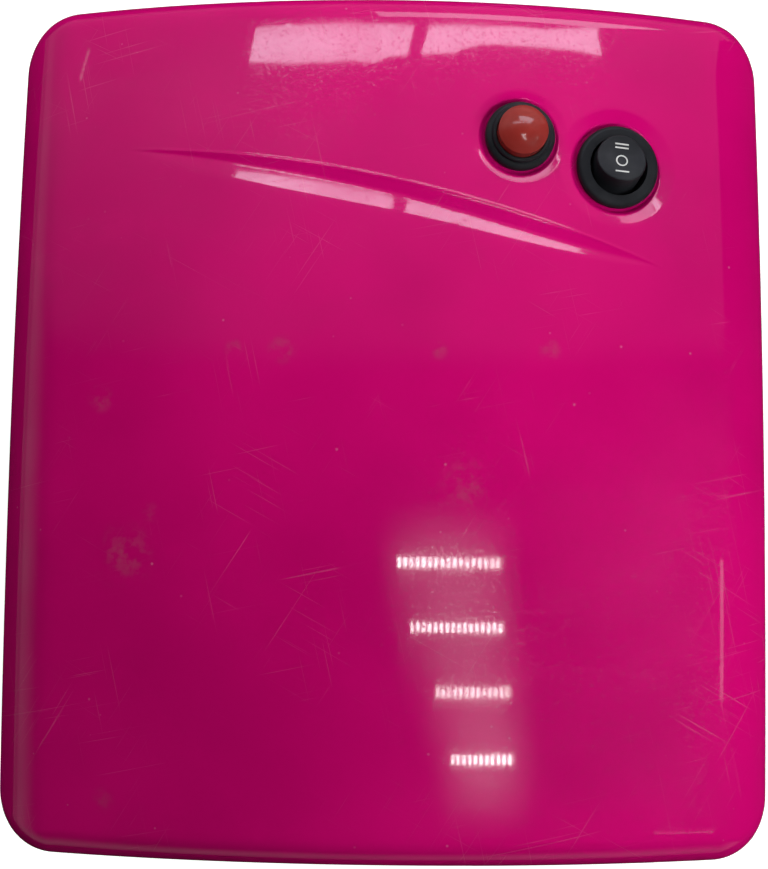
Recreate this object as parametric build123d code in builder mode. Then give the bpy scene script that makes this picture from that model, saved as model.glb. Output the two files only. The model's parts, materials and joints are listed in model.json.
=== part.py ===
from build123d import *
from math import asin, cos, degrees, radians, sin, sqrt, tan
import os

# UV nail lamp: a glossy arched cover over a lamp chamber with four compact tubes.
# It stands on four feet with +Z up, its hand opening towards -Y and the origin at
# the centre of its footprint. All lengths are in millimetres and angles in degrees.

# Overall sizes of the housing
width = 210.0
depth = 234.0
height = 100.0
foot_height = 3.0
base_height = 8.6
seam_gap = 0.4
rear_reach = 9.0

# Shape of the cover
wall = 3.0
draft = 1.5
corner_radius = 18.0
arch_radius = 270.0
roof_radius = 1100.0
crown_offset = -35.0
shoulder_inset = 17.0
shoulder_radius = 29.0
rim_radius = 8.0

# Groove that sweeps across the roof, from a place given by x and the distance from the rear wall
groove_start = (-71.0, 44.7)
groove_heading = 2.5
groove_radius = 430.0
groove_length = 149.0
groove_depth = 1.6
groove_steep = 1.9
groove_gentle = 5.5
groove_lift = 1.2
groove_sections = 11

# Hand opening in the front wall
opening_jamb = 8.0
opening_brow = 28.0
opening_rise = 12.0
opening_corner = 15.0

# Push button, placed by x and the distance from the rear wall
button_at = (34.3, 41.4)
button_lean = (4.6, 3.1)
button_sink = 1.3
button_flange = 9.35
button_flange_height = 2.2
button_round = 1.2
button_collar = 7.8
button_collar_height = 1.4
button_collar_round = 0.5
button_pocket = 6.85
button_barrel = 5.95
button_length = 16.0
button_bore = 3.6
dome_radius = 6.6
dome_side = 3.2
dome_rise = 2.6
button_travel = 2.5
button_nut_across = 15.0
button_nut_height = 2.2
button_floor = 1.5
button_stem = 3.4
button_stem_length = 8.0
button_terminal = (2.8, 0.5, 6.0)
button_terminal_gap = 2.2
button_spring_radius = 2.4
button_spring_wire = 0.5
button_spring_turns = 4
contact_sheet = 0.5

# Rocker switch, placed by x and the distance from the rear wall
rocker_at = (60.7, 48.4)
rocker_lean = (10.0, 2.4)
rocker_sink = 1.35
rocker_flange = 11.2
rocker_flange_height = 2.0
rocker_round = 1.1
rocker_barrel = 9.9
rocker_length = 15.0
rocker_cavity = 8.0
paddle_radius = 7.1
paddle_top = 6.75
paddle_face = 6.1
paddle_hollow = 12.0
paddle_skirt = 3.0
paddle_round = 0.4
pivot_depth = 1.5
pivot_radius = 1.2
rocker_tilt = 12.0
contact_tilt = 6.0
contact_drop = 8.0
contact_length = 12.4
contact_width = 2.4
plunger_radius = 1.3
plunger_round = 1.0
plunger_drop = 7.5
rocker_spring_radius = 1.0
rocker_spring_wire = 0.3
rocker_spring_turns = 9
rocker_terminal = (4.8, 0.8, 6.5)
rocker_terminal_pitch = 5.4
rocker_catch = (4.0, 1.4, 5.0)

# Dished seats around the switches
seat_margin = 0.3
seat_flare = 1.5
pad_wall = 4.2
pad_margin = 4.0

# Lamp chamber and its reflectors
side_space = 17.0
chamber_wall = 1.8
chamber_headroom = 10.0
chamber_rise = 30.0
chamber_corner = 10.0
chamber_front_gap = 6.0
bay_depth = 67.0
sheet = 0.4
skin_gap = 0.05

# Compact lamp tubes and their holders
limb_radius = 6.0
limb_pitch = 15.5
limb_length = 128.0
glass_wall = 1.0
glass_tip = 3.0
bridge_radius = 3.0
bridge_inset = 9.6
cap_length = 16.0
cap_size = (32.0, 19.5)
cap_corner = 5.0
limb_seat = 3.0
plug_size = (19.0, 9.0)
plug_corner = 1.5
plug_length = 13.0
pin_radius = 1.2
pin_pitch = 23.0
pin_length = 8.0
holder_size = (34.0, 21.0)
holder_flange = (38.0, 25.0)
holder_flange_height = 1.5
holder_corner = 2.0
holder_length = 20.0
side_lamp = (17.0, 50.0)
top_lamp = (24.0, 22.0)
clip_width = 8.0
clip_wall = 0.9
clip_foot = 15.0
clip_stem = 4.0
clip_mouth = 2.5
clip_offset = 18.0
rivet_radius = 1.2
rivet_head = 2.2
rivet_pitch = 9.8

# Base frame and tray
base_wall = 2.5
floor = 2.5
strip_reach = 8.0
lip_reach = 4.0
lip_height = 3.0
rail_wall = 2.5
tray_plate = 2.0
tray_corner = 2.0
tray_gap = 0.3
side_gap = 0.4
fascia = 3.4
fascia_corner = 1.2
mirror_margin = 0.6
mirror_corner = 3.0
notch_width = 32.0
notch_depth = 3.2

# Feet and screws
foot_radius = 7.0
foot_bevel = 0.6
foot_band = 0.4
foot_peg = 2.4
foot_bulb = 3.1
foot_bulb_height = 0.8
foot_tip_height = 2.4
foot_inset = (11.0, 19.0)
boss_radius = 4.5
boss_inset = (9.5, 39.0)
boss_height = 18.0
boss_rib = 2.0
screw_head = 3.0
screw_head_height = 2.2
screw_shank = 1.45
screw_clear = 1.7
screw_sink = 3.4
screw_cross = (4.8, 0.9, 0.8)

# Connections in the rear wall
panel_depth = 1.0
panel_z = 28.0
gland_inset = 31.0
fuse_pitch = 34.0
fuse_flange = 7.8
fuse_flange_height = 2.0
fuse_barrel = 5.9
fuse_length = 30.0
fuse_bore = 3.4
fuse_floor = 2.0
fuse_knob = 6.6
fuse_knob_height = 5.0
fuse_knob_round = 0.8
fuse_slot = (1.2, 1.2)
fuse_stem = 4.0
fuse_nut_radius = 7.4
fuse_nut_height = 2.3
fuse_glass = 2.45
fuse_ferrule = 2.6
fuse_ferrule_length = 5.0
fuse_link_length = 20.0
gland_flange = 8.0
gland_flange_height = 3.0
gland_shoulder = 6.5
gland_wall = 1.5
gland_bore = 3.6
gland_tail = 12.0
gland_barrel = 6.0

# Air slots
vent_slot = (24.0, 3.0)
vent_pitch = 9.0
vent_count = 9
vent_inset = 59.0
vent_z = 46.0
floor_slot = (28.0, 3.0)
floor_slot_count = 6

# Circuit boards
board = 1.6
board_lift = 3.5
ballast_size = (84.0, 50.0)
ballast_at = (-47.0, -31.0)
timer_size = (58.0, 38.0)
timer_from_fuse = 4.0
timer_row = -26.0
board_inset = 4.0
board_post = 3.2
board_screw = 1.25
board_screw_head = (2.5, 1.6)
choke_flange = (15.0, 18.0)
choke_foot = 5.0
choke_coil = (6.5, 10.0)
choke_top = 4.0
choke_pitch = 20.0
capacitor = (5.0, 20.0)
capacitor_pitch = 16.0
capacitor_row = 18.0
transistor = (8.0, 2.8, 11.0)
transistor_pitch = 12.0
transistor_row = -17.0
relay = (15.0, 19.0, 15.0)
relay_at = (-12.0, -6.0)
chip = (19.0, 6.6, 3.6)
chip_at = (12.0, -6.0)
timer_capacitor = (3.1, 11.0)
timer_capacitor_pitch = 9.0
timer_capacitors_at = (13.5, 7.0)

# Wires inside the rear bay, each a route of points measured from the bay's front wall
wire_radius = 0.7
wire_pair = 1.1
bend_share = 0.45
mains_routes = (
    ((73.0, 53.6, 28.0), (73.0, 43.0, 28.0), (61.0, 28.0, 24.0), (47.0, 25.0, 25.0), (40.5, 27.5, 27.0),
     (40.0, 35.7, 28.0)),
    ((75.4, 53.6, 28.5), (76.0, 43.0, 34.0), (66.0, 29.0, 45.0), (57.6, 18.5, 53.0), (57.0, 17.2, 64.6)),
)
switch_routes = (
    ((57.0, 22.7, 64.6), (57.0, 23.6, 52.0), (60.5, 32.0, 41.0), (61.5, 43.0, 30.0), (61.5, 46.5, 20.0),
     (61.5, 46.5, 10.7)),
    ((57.0, 11.9, 64.6), (56.6, 13.0, 53.0), (54.5, 20.0, 40.0), (54.0, 24.0, 25.0), (54.0, 24.5, 10.7)),
    ((32.6, 26.7, 70.0), (32.8, 26.6, 55.0), (34.2, 25.4, 38.0), (34.4, 25.0, 24.0), (34.4, 25.0, 10.7)),
    ((32.6, 22.3, 70.0), (32.2, 22.4, 56.0), (28.6, 22.8, 40.0), (27.8, 23.2, 25.0), (27.8, 23.6, 10.7)),
)
lamp_routes = (
    ((21.9, 12.0, 57.3), (20.6, 12.0, 46.0), (5.0, 12.5, 36.0), (-14.0, 13.8, 25.0), (-16.5, 14.5, 10.7)),
    ((-21.9, 12.0, 57.3), (-21.2, 12.2, 44.0), (-22.6, 14.0, 28.0), (-23.0, 14.4, 10.7)),
    ((71.0, 12.0, 22.9), (70.0, 12.0, 14.5), (57.0, 12.0, 9.0), (36.0, 12.2, 8.4), (14.0, 13.6, 8.6),
     (-4.8, 14.6, 9.8)),
    ((-71.0, 12.0, 22.9), (-71.6, 12.6, 16.8), (-72.0, 12.8, 10.7)),
)

# Running and assembly clearances, and how far a cutter runs past the face it opens
running = 0.08
slip = 0.05
apart = 0.3
overcut = 1.0

# Alignments along the axis of a piece: standing on its plane or hanging from it
STANDING = (Align.CENTER, Align.CENTER, Align.MIN)
HANGING = (Align.CENTER, Align.CENTER, Align.MAX)

# Places that follow from the sizes above
front_y = -(depth + rear_reach) / 2
rear_y = front_y + depth
mid_y = front_y + depth / 2
base_top = foot_height + base_height
cover_bottom = base_top + seam_gap
floor_top = foot_height + floor
crown_y = mid_y + crown_offset
shoulder_x = width / 2 - shoulder_inset
chamber_rear = rear_y - bay_depth
chamber_front = front_y + chamber_front_gap
chamber_half = width / 2 - side_space
chamber_top = height - chamber_headroom
chamber_arch = (chamber_half ** 2 + chamber_rise ** 2) / (2 * chamber_rise)
chamber_axis = chamber_top - chamber_arch
opening_half = chamber_half - opening_jamb
opening_top = height - opening_brow
opening_spring = opening_top - opening_rise
strip_inner = chamber_half - strip_reach
lip_inner = chamber_half - lip_reach
panel_y = rear_y - panel_depth
gland_x = width / 2 - gland_inset
fuse_x = gland_x - fuse_pitch
timer_at = (fuse_x - timer_from_fuse, timer_row)
vent_x = vent_inset - width / 2
groove_profile = groove_depth + groove_lift
boss_xs = (boss_inset[0] - width / 2, width / 2 - boss_inset[0])
boss_ys = (front_y + boss_inset[1], rear_y - boss_inset[1])
boss_places = [(x, y) for y in boss_ys for x in boss_xs]
foot_xs = (width / 2 - foot_inset[0], foot_inset[0] - width / 2)
foot_ys = (front_y + foot_inset[1], rear_y - foot_inset[1])


def write(builder, name):
    """Label a finished piece and write it as its own STEP file."""
    builder.part.label = name
    export_step(builder.part, f"parts/{name}.step")


def across(y):
    """Upright plane square to Y: local x is +X, local y is +Z and it faces -Y."""
    return Plane((0, y, 0), x_dir=(1, 0, 0), z_dir=(0, -1, 0))


def roof_point(x, y):
    """Point of the outer roof above a place in plan."""
    reach = roof_radius - arch_radius + sqrt(arch_radius ** 2 - x ** 2)
    return Vector(x, y, height - roof_radius + sqrt(reach ** 2 - (y - crown_y) ** 2))


def roof_normal(x, y):
    """Outward normal of the outer roof above a place in plan."""
    cross = sqrt(arch_radius ** 2 - x ** 2)
    reach = roof_radius - arch_radius + cross
    lift = sqrt(reach ** 2 - (y - crown_y) ** 2)
    return Vector(reach / lift * x / cross, (y - crown_y) / lift, 1).normalized()


def seat_plane(place, lean, sink):
    """Plane of a switch seat, sunk below the roof and leaning less than the roof does."""
    lean_x, lean_y = tan(radians(lean[0])), tan(radians(lean[1]))
    centre = roof_point(place[0], rear_y - place[1])
    return Plane(centre - Vector(0, 0, sink), x_dir=(1, 0, -lean_x), z_dir=(lean_x, lean_y, 1))


def loaf(inset):
    """Solid form of the housing, drafted in plan under a doubly arched roof."""
    crown_r = arch_radius - inset
    side_r = shoulder_radius - inset
    turn = asin(shoulder_x / arch_radius)
    centre_y = roof_radius - arch_radius
    join_x = crown_r * sin(turn)
    join_y = centre_y + crown_r * cos(turn)
    side_x = join_x - side_r * sin(turn)
    side_y = join_y - side_r * cos(turn)
    middle = (radians(90) + turn) / 2
    mid_x = side_x + side_r * sin(middle)
    bend_y = side_y + side_r * cos(middle)
    edge_x = side_x + side_r
    foot_y = roof_radius - 1.5 * height
    swing = degrees(asin((depth / 2 + abs(crown_offset)) / (roof_radius - height))) + 1
    handle = 4 / 3 * tan(turn / 2) * crown_r
    lead_x, lead_y = handle * cos(turn), handle * sin(turn)
    axis_point = (0, crown_y, height - roof_radius)
    facing = (0, -cos(radians(swing)), -sin(radians(swing)))
    with BuildPart() as form:
        with BuildSketch(Plane(axis_point, x_dir=(1, 0, 0), z_dir=facing)):
            with BuildLine():
                Bezier((-join_x, join_y), (-join_x + lead_x, join_y + lead_y),
                       (join_x - lead_x, join_y + lead_y), (join_x, join_y))
                ThreePointArc((join_x, join_y), (mid_x, bend_y), (edge_x, side_y))
                Polyline((edge_x, side_y), (edge_x, foot_y), (-edge_x, foot_y), (-edge_x, side_y))
                ThreePointArc((-join_x, join_y), (-mid_x, bend_y), (-edge_x, side_y))
            make_face()
        revolve(axis=Axis(axis_point, (-1, 0, 0)), revolution_arc=2 * swing)
        with BuildSketch(Plane((0, mid_y, cover_bottom))):
            RectangleRounded(width - 2 * inset, depth - 2 * inset, corner_radius - inset)
        extrude(amount=height, taper=draft, mode=Mode.INTERSECT)
        roofs = [f for f in form.faces() if f.geom_type not in (GeomType.PLANE, GeomType.CONE)]
        rim = [e for e in form.edges() if sum(any(e.is_same(o) for o in f.edges()) for f in roofs) == 1]
        fillet(rim, rim_radius - inset)
    return form.part


def groove_solid():
    """Cutter of the roof groove: one triangle carried along an arc, deepest in the middle."""
    with BuildPart() as cutter:
        for index in range(groove_sections):
            along = index / (groove_sections - 1)
            start = radians(groove_heading)
            heading = start + along * groove_length / groove_radius
            x = groove_start[0] + groove_radius * (sin(heading) - sin(start))
            y = rear_y - groove_start[1] - groove_radius * (cos(start) - cos(heading))
            deep = (groove_depth + apart) * (1 - abs(2 * along - 1) ** 3) - apart
            normal = roof_normal(x, y)
            travel = Vector(cos(heading), -sin(heading), 0)
            side = travel.cross(normal).normalized()
            low = groove_steep * deep / groove_depth
            with BuildSketch(Plane(roof_point(x, y), x_dir=side, z_dir=side.cross(normal))):
                Polygon(
                    (low, -deep),
                    (low + groove_gentle * groove_profile / groove_depth, groove_profile - deep),
                    (low - groove_steep * groove_profile / groove_depth, groove_profile - deep),
                    align=None,
                )
        loft()
    return cutter.part


def tunnel(inset, bottom, corner):
    """Section of the lamp chamber, to be drawn on an upright plane."""
    half = chamber_half - inset
    arch = chamber_arch - inset
    spring = chamber_axis + sqrt(arch ** 2 - half ** 2)
    with BuildSketch() as section:
        with BuildLine():
            Polyline((-half, spring), (-half, bottom), (half, bottom), (half, spring))
            ThreePointArc((-half, spring), (0, chamber_axis + arch), (half, spring))
        make_face()
        fillet(section.vertices().group_by(Axis.Y)[-1], corner)
    return section.sketch


def lamp_plane(index):
    """Plane at the front of one lampholder: local z points back, local y to the nearest wall."""
    side = -1 if index % 2 else 1
    y = chamber_rear - sheet - skin_gap - holder_flange_height
    if index < 2:
        x, z = side * top_lamp[0], chamber_top - top_lamp[1]
        outward = Vector(x, 0, z - chamber_axis).normalized()
    else:
        x, z = side * (chamber_half - side_lamp[0]), chamber_top - side_lamp[1]
        outward = Vector(side, 0, 0)
    back = Vector(0, 1, 0)
    return Plane((x, y, z), x_dir=outward.cross(back), z_dir=back)


def wall_reach(index):
    """Distance from a lamp's axis to the sheet that lines the chamber."""
    lining = chamber_wall + skin_gap + sheet + slip
    if index < 2:
        inner = sqrt((chamber_arch - lining) ** 2 - (clip_foot / 2) ** 2)
        return inner - sqrt(top_lamp[0] ** 2 + (chamber_arch - top_lamp[1]) ** 2)
    return side_lamp[0] - lining


def clip_plane(index):
    """Plane on a tube clip, square to the wall that carries it."""
    seat = lamp_plane(index)
    middle = seat.origin - Vector(0, cap_length + limb_length - clip_offset, 0)
    outward = seat.y_dir
    return Plane(middle + outward * wall_reach(index), x_dir=seat.x_dir, z_dir=outward)


def wire(route, shift):
    """Round wire along straight runs joined by arcs as large as the runs allow."""
    places = [Vector(x, chamber_rear + y + shift, z) for x, y, z in route]
    runs = [after - before for before, after in zip(places, places[1:])]
    bends = []
    for before, after in zip(runs, runs[1:]):
        turn = radians(before.get_angle(after))
        bends.append(bend_share * min(before.length, after.length) / tan(turn / 2))
    with BuildPart() as strand:
        with BuildLine() as line:
            FilletPolyline(*places, radius=bends)
        with BuildSketch(Plane(line.line @ 0, z_dir=line.line % 0)):
            Circle(wire_radius)
        sweep(path=line.line)
    return strand.part


button_seat = seat_plane(button_at, button_lean, button_sink)
rocker_seat = seat_plane(rocker_at, rocker_lean, rocker_sink)
rocker_pivot = rocker_seat.offset(-pivot_depth)
lamp_names = ("top_right", "top_left", "side_right", "side_left")
os.makedirs("parts", exist_ok=True)

# Top cover: a drafted shell with thick pads and dished seats for the two switches
switches = ((button_seat, button_flange, button_barrel), (rocker_seat, rocker_flange, rocker_barrel))
with BuildPart() as hollow:
    add(loaf(wall))
    for seat, flange, barrel in switches:
        with Locations(seat.offset(-pad_wall)):
            Cylinder(flange + pad_margin, height, align=STANDING, mode=Mode.SUBTRACT)
    for x, y in boss_places:
        with BuildSketch(Plane((x, y, cover_bottom))):
            Circle(boss_radius)
            with Locations((boss_radius if x > 0 else -boss_radius, 0)):
                Rectangle(2 * boss_radius, boss_rib)
        extrude(amount=boss_height, mode=Mode.SUBTRACT)

with BuildPart() as top_cover:
    add(loaf(0))
    add(hollow.part, mode=Mode.SUBTRACT)
    add(groove_solid(), mode=Mode.SUBTRACT)
    for seat, flange, barrel in switches:
        with Locations(seat):
            Cone(flange + seat_margin, flange + seat_margin + 2 * wall * seat_flare, 2 * wall,
                 align=STANDING, mode=Mode.SUBTRACT)
            Cylinder(barrel + 2 * slip, 2 * (pad_wall + overcut), mode=Mode.SUBTRACT)
    with BuildSketch(across(front_y + 2 * wall)) as mouth:
        with BuildLine():
            Polyline((-opening_half, opening_spring), (-opening_half, cover_bottom - overcut),
                     (opening_half, cover_bottom - overcut), (opening_half, opening_spring))
            ThreePointArc((-opening_half, opening_spring), (0, opening_top), (opening_half, opening_spring))
        make_face()
        fillet(mouth.vertices().group_by(Axis.Y)[-1], opening_corner)
    extrude(amount=3 * wall, mode=Mode.SUBTRACT)
    with BuildSketch(across(rear_y + wall)):
        with Locations((vent_x, vent_z)):
            with GridLocations(vent_pitch, 1, vent_count, 1):
                SlotOverall(vent_slot[0], vent_slot[1], rotation=90)
    extrude(amount=3 * wall, mode=Mode.SUBTRACT)
    for x, flange, barrel in ((fuse_x, fuse_flange, fuse_barrel), (gland_x, gland_flange, gland_barrel)):
        with Locations(Plane((x, panel_y, panel_z), z_dir=(0, 1, 0))):
            Cylinder(flange + 2 * slip, panel_depth + overcut, align=STANDING, mode=Mode.SUBTRACT)
            Cylinder(barrel + slip, 4 * wall, mode=Mode.SUBTRACT)
    with Locations(*[(x, y, cover_bottom) for x, y in boss_places]):
        Cylinder(screw_shank + slip, 2 * (boss_height - boss_rib), mode=Mode.SUBTRACT)
write(top_cover, "top_cover")

# Base frame: skirt, side strips with the tray grooves, rear floor and board posts
with BuildPart() as base_frame:
    with BuildSketch(Plane((0, mid_y, foot_height))):
        RectangleRounded(width, depth, corner_radius)
    extrude(amount=base_height)
    with BuildSketch(Plane((0, mid_y, floor_top))):
        RectangleRounded(width - 2 * base_wall, depth - 2 * base_wall, corner_radius - base_wall)
    extrude(amount=base_height, mode=Mode.SUBTRACT)
    for side in (-1, 1):
        with BuildSketch(across(chamber_rear + base_wall)):
            with BuildLine():
                Polyline((side * lip_inner, base_top), (side * lip_inner, base_top - lip_height),
                         (side * chamber_half, base_top - lip_height), (side * chamber_half, floor_top),
                         (side * (chamber_half + rail_wall), floor_top),
                         (side * (chamber_half + rail_wall), base_top), close=True)
            make_face()
        extrude(amount=chamber_rear + base_wall / 2 - front_y)
    with BuildSketch(Plane((0, (front_y + chamber_rear) / 2, foot_height))):
        Rectangle(2 * strip_inner, chamber_rear - front_y)
    extrude(amount=base_height, mode=Mode.SUBTRACT)
    with BuildSketch(Plane((0, front_y, foot_height))):
        Rectangle(2 * chamber_half, 2 * (fascia + apart))
    extrude(amount=base_height, mode=Mode.SUBTRACT)
    with BuildSketch(Plane((0, chamber_rear + base_wall / 2, foot_height))):
        Rectangle(2 * (chamber_half + rail_wall), base_wall)
    extrude(amount=base_height)
    with Locations(*[(x, y, foot_height) for x, y in boss_places]):
        Cylinder(boss_radius, base_height, align=STANDING)
        Cylinder(screw_head + 2 * slip, 2 * screw_sink, mode=Mode.SUBTRACT)
        Cylinder(screw_clear, 3 * base_height, mode=Mode.SUBTRACT)
    for centre, size in ((ballast_at, ballast_size), (timer_at, timer_size)):
        with BuildSketch(Plane((centre[0], rear_y + centre[1], floor_top))):
            with GridLocations(size[0] - 2 * board_inset, size[1] - 2 * board_inset, 2, 2):
                Circle(board_post)
        extrude(amount=board_lift)
        with BuildSketch(Plane((centre[0], rear_y + centre[1], floor_top - floor / 2))):
            with GridLocations(size[0] - 2 * board_inset, size[1] - 2 * board_inset, 2, 2):
                Circle(board_screw + slip)
        extrude(amount=board_lift + floor, mode=Mode.SUBTRACT)
    with BuildSketch(Plane((ballast_at[0], rear_y + ballast_at[1], foot_height))):
        with GridLocations(vent_pitch, 1, floor_slot_count, 1):
            SlotOverall(floor_slot[0], floor_slot[1], rotation=90)
    extrude(amount=floor, mode=Mode.SUBTRACT)
    with Locations(*[(x, y, foot_height) for x in foot_xs for y in foot_ys]):
        Cylinder(foot_peg + slip, 3 * floor, mode=Mode.SUBTRACT)
write(base_frame, "base_frame")

# Rubber feet, pulled through the floor by their pegs
foot_names = ("foot_front_right", "foot_rear_right", "foot_front_left", "foot_rear_left")
foot_places = [(x, y) for x in foot_xs for y in foot_ys]
for name, (x, y) in zip(foot_names, foot_places):
    with BuildPart() as foot:
        with BuildSketch(Plane((x, y, 0), x_dir=(1, 0, 0), z_dir=(0, -1, 0))):
            with BuildLine():
                Polyline((0, 0), (foot_radius - foot_bevel, 0), (foot_radius, foot_height - foot_band),
                         (foot_radius, foot_height), (foot_peg, foot_height),
                         (foot_peg, floor_top + slip), (foot_bulb, floor_top + slip),
                         (foot_bulb, floor_top + foot_bulb_height), (foot_peg / 2, floor_top + foot_tip_height),
                         (0, floor_top + foot_tip_height), close=True)
            make_face()
        revolve(axis=Axis((x, y, 0), (0, 0, 1)))
    write(foot, name)

# Screws that hold the cover to the base frame
with BuildPart() as cover_screws:
    with Locations(*[(x, y, foot_height + screw_sink) for x, y in boss_places]):
        Cylinder(screw_head, screw_head_height, align=HANGING)
        Cylinder(screw_shank, base_height + boss_height / 2, align=STANDING)
        with Locations((0, 0, -screw_head_height)):
            Box(screw_cross[0], screw_cross[1], 2 * screw_cross[2], mode=Mode.SUBTRACT)
            Box(screw_cross[1], screw_cross[0], 2 * screw_cross[2], mode=Mode.SUBTRACT)
write(cover_screws, "cover_screws")

# Sliding tray: plate in the grooves, mirror sheet on it and a fascia with a finger notch
tray_half = chamber_half - side_gap
tray_bottom = floor_top + tray_gap
tray_top = tray_bottom + tray_plate
tray_front = front_y + fascia
tray_rear = chamber_rear - tray_gap
with BuildPart() as tray_board:
    with BuildSketch(Plane((0, (tray_front + tray_rear) / 2, tray_bottom))):
        RectangleRounded(2 * tray_half, tray_rear - tray_front, tray_corner)
    extrude(amount=tray_plate)
write(tray_board, "tray_plate")

mirror_half = lip_inner - mirror_margin
with BuildPart() as tray_mirror:
    with BuildSketch(Plane((0, (tray_front + tray_rear) / 2, tray_top))):
        RectangleRounded(2 * mirror_half, tray_rear - tray_front - 2 * mirror_margin, mirror_corner)
    extrude(amount=sheet)
write(tray_mirror, "tray_mirror")

with BuildPart() as tray_fascia:
    with BuildSketch(across(tray_front)):
        with Locations((0, (foot_height + base_top) / 2)):
            RectangleRounded(2 * tray_half, base_height - 2 * side_gap, fascia_corner)
        with Locations((0, base_top - side_gap)):
            Ellipse(notch_width / 2, notch_depth, mode=Mode.SUBTRACT)
    extrude(amount=fascia)
write(tray_fascia, "tray_fascia")

# Lamp chamber: white tunnel with a rear wall that carries the lampholders
with BuildPart() as lamp_chamber:
    with BuildSketch(across(chamber_rear + chamber_wall)):
        add(tunnel(0, base_top, chamber_corner))
    extrude(amount=chamber_rear + chamber_wall - chamber_front)
    with BuildSketch(across(chamber_rear)):
        add(tunnel(chamber_wall, base_top - overcut, chamber_corner - chamber_wall))
    extrude(amount=depth, mode=Mode.SUBTRACT)
    for index in range(4):
        with BuildSketch(lamp_plane(index)):
            Rectangle(holder_size[0] + 2 * apart, holder_size[1] + 2 * apart)
        extrude(amount=holder_length, mode=Mode.SUBTRACT)
        with Locations(clip_plane(index)):
            with GridLocations(rivet_pitch, 1, 2, 1):
                Cylinder(rivet_radius + slip, 4 * chamber_wall, mode=Mode.SUBTRACT)
write(lamp_chamber, "lamp_chamber")

# Bright sheet that lines the tunnel
lining = chamber_wall + skin_gap
lining_rear = chamber_rear - skin_gap - sheet - slip
with BuildPart() as hood_reflector:
    with BuildSketch(across(lining_rear)):
        add(tunnel(lining, base_top, chamber_corner - lining))
    extrude(amount=lining_rear - chamber_front)
    with BuildSketch(across(chamber_rear)):
        add(tunnel(lining + sheet, base_top - overcut, chamber_corner - lining - sheet))
    extrude(amount=depth, mode=Mode.SUBTRACT)
    for index in range(4):
        with Locations(clip_plane(index)):
            with GridLocations(rivet_pitch, 1, 2, 1):
                Cylinder(rivet_radius + slip, 4 * chamber_wall, mode=Mode.SUBTRACT)
write(hood_reflector, "hood_reflector")

# Bright sheet on the tunnel's rear wall
with BuildPart() as rear_reflector:
    with BuildSketch(across(chamber_rear - skin_gap)):
        add(tunnel(lining, base_top, chamber_corner - lining))
    extrude(amount=sheet)
    for index in range(4):
        with BuildSketch(lamp_plane(index)):
            Rectangle(holder_size[0] + 2 * apart, holder_size[1] + 2 * apart)
        extrude(amount=holder_length, mode=Mode.SUBTRACT)
write(rear_reflector, "rear_reflector")

# Lamp tubes, their caps and the holders they plug into
limb_places = ((limb_pitch / 2, 0), (-limb_pitch / 2, 0))
limb_end = -cap_length - limb_length
for index, name in enumerate(lamp_names):
    seat = lamp_plane(index)
    bridge = seat.offset(limb_end + bridge_inset)
    with BuildPart() as glass:
        with BuildSketch(seat.offset(limb_end)):
            with Locations(*limb_places):
                Circle(limb_radius)
        extrude(amount=limb_length + limb_seat)
        fillet(glass.edges().filter_by(GeomType.CIRCLE).group_by(Axis.Y)[0], limb_radius - glass_wall)
        with Locations(bridge):
            with Locations(Plane.YZ):
                Cylinder(bridge_radius, limb_pitch)
        with BuildSketch(seat.offset(limb_end + glass_tip)):
            with Locations(*limb_places):
                Circle(limb_radius - glass_wall)
        extrude(amount=limb_length + limb_seat, mode=Mode.SUBTRACT)
        with Locations(bridge):
            with Locations(Plane.YZ):
                Cylinder(bridge_radius - glass_wall, limb_pitch, mode=Mode.SUBTRACT)
    write(glass, f"tube_{name}")

    with BuildPart() as cap:
        with BuildSketch(seat.offset(-cap_length)):
            RectangleRounded(cap_size[0], cap_size[1], cap_corner)
        extrude(amount=cap_length - running)
        with BuildSketch(seat.offset(-cap_length / 2)):
            RectangleRounded(plug_size[0], plug_size[1], plug_corner)
        extrude(amount=cap_length / 2 + plug_length)
        with BuildSketch(seat.offset(-cap_length / 2)):
            with GridLocations(pin_pitch, 1, 2, 1):
                Circle(pin_radius)
        extrude(amount=cap_length / 2 + pin_length)
        with BuildSketch(seat.offset(-cap_length)):
            with Locations(*limb_places):
                Circle(limb_radius + slip)
        extrude(amount=limb_seat + slip, mode=Mode.SUBTRACT)
    write(cap, f"tube_cap_{name}")

    with BuildPart() as holder:
        with BuildSketch(seat):
            RectangleRounded(holder_flange[0], holder_flange[1], holder_corner)
        extrude(amount=holder_flange_height)
        with BuildSketch(seat):
            Rectangle(holder_size[0], holder_size[1])
        extrude(amount=holder_length)
        with BuildSketch(seat):
            RectangleRounded(plug_size[0] + 2 * apart, plug_size[1] + 2 * apart, plug_corner + apart)
        extrude(amount=plug_length + apart, mode=Mode.SUBTRACT)
        with BuildSketch(seat):
            with GridLocations(pin_pitch, 1, 2, 1):
                Circle(pin_radius + running)
        extrude(amount=pin_length + apart, mode=Mode.SUBTRACT)
    write(holder, f"lampholder_{name}")

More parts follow.
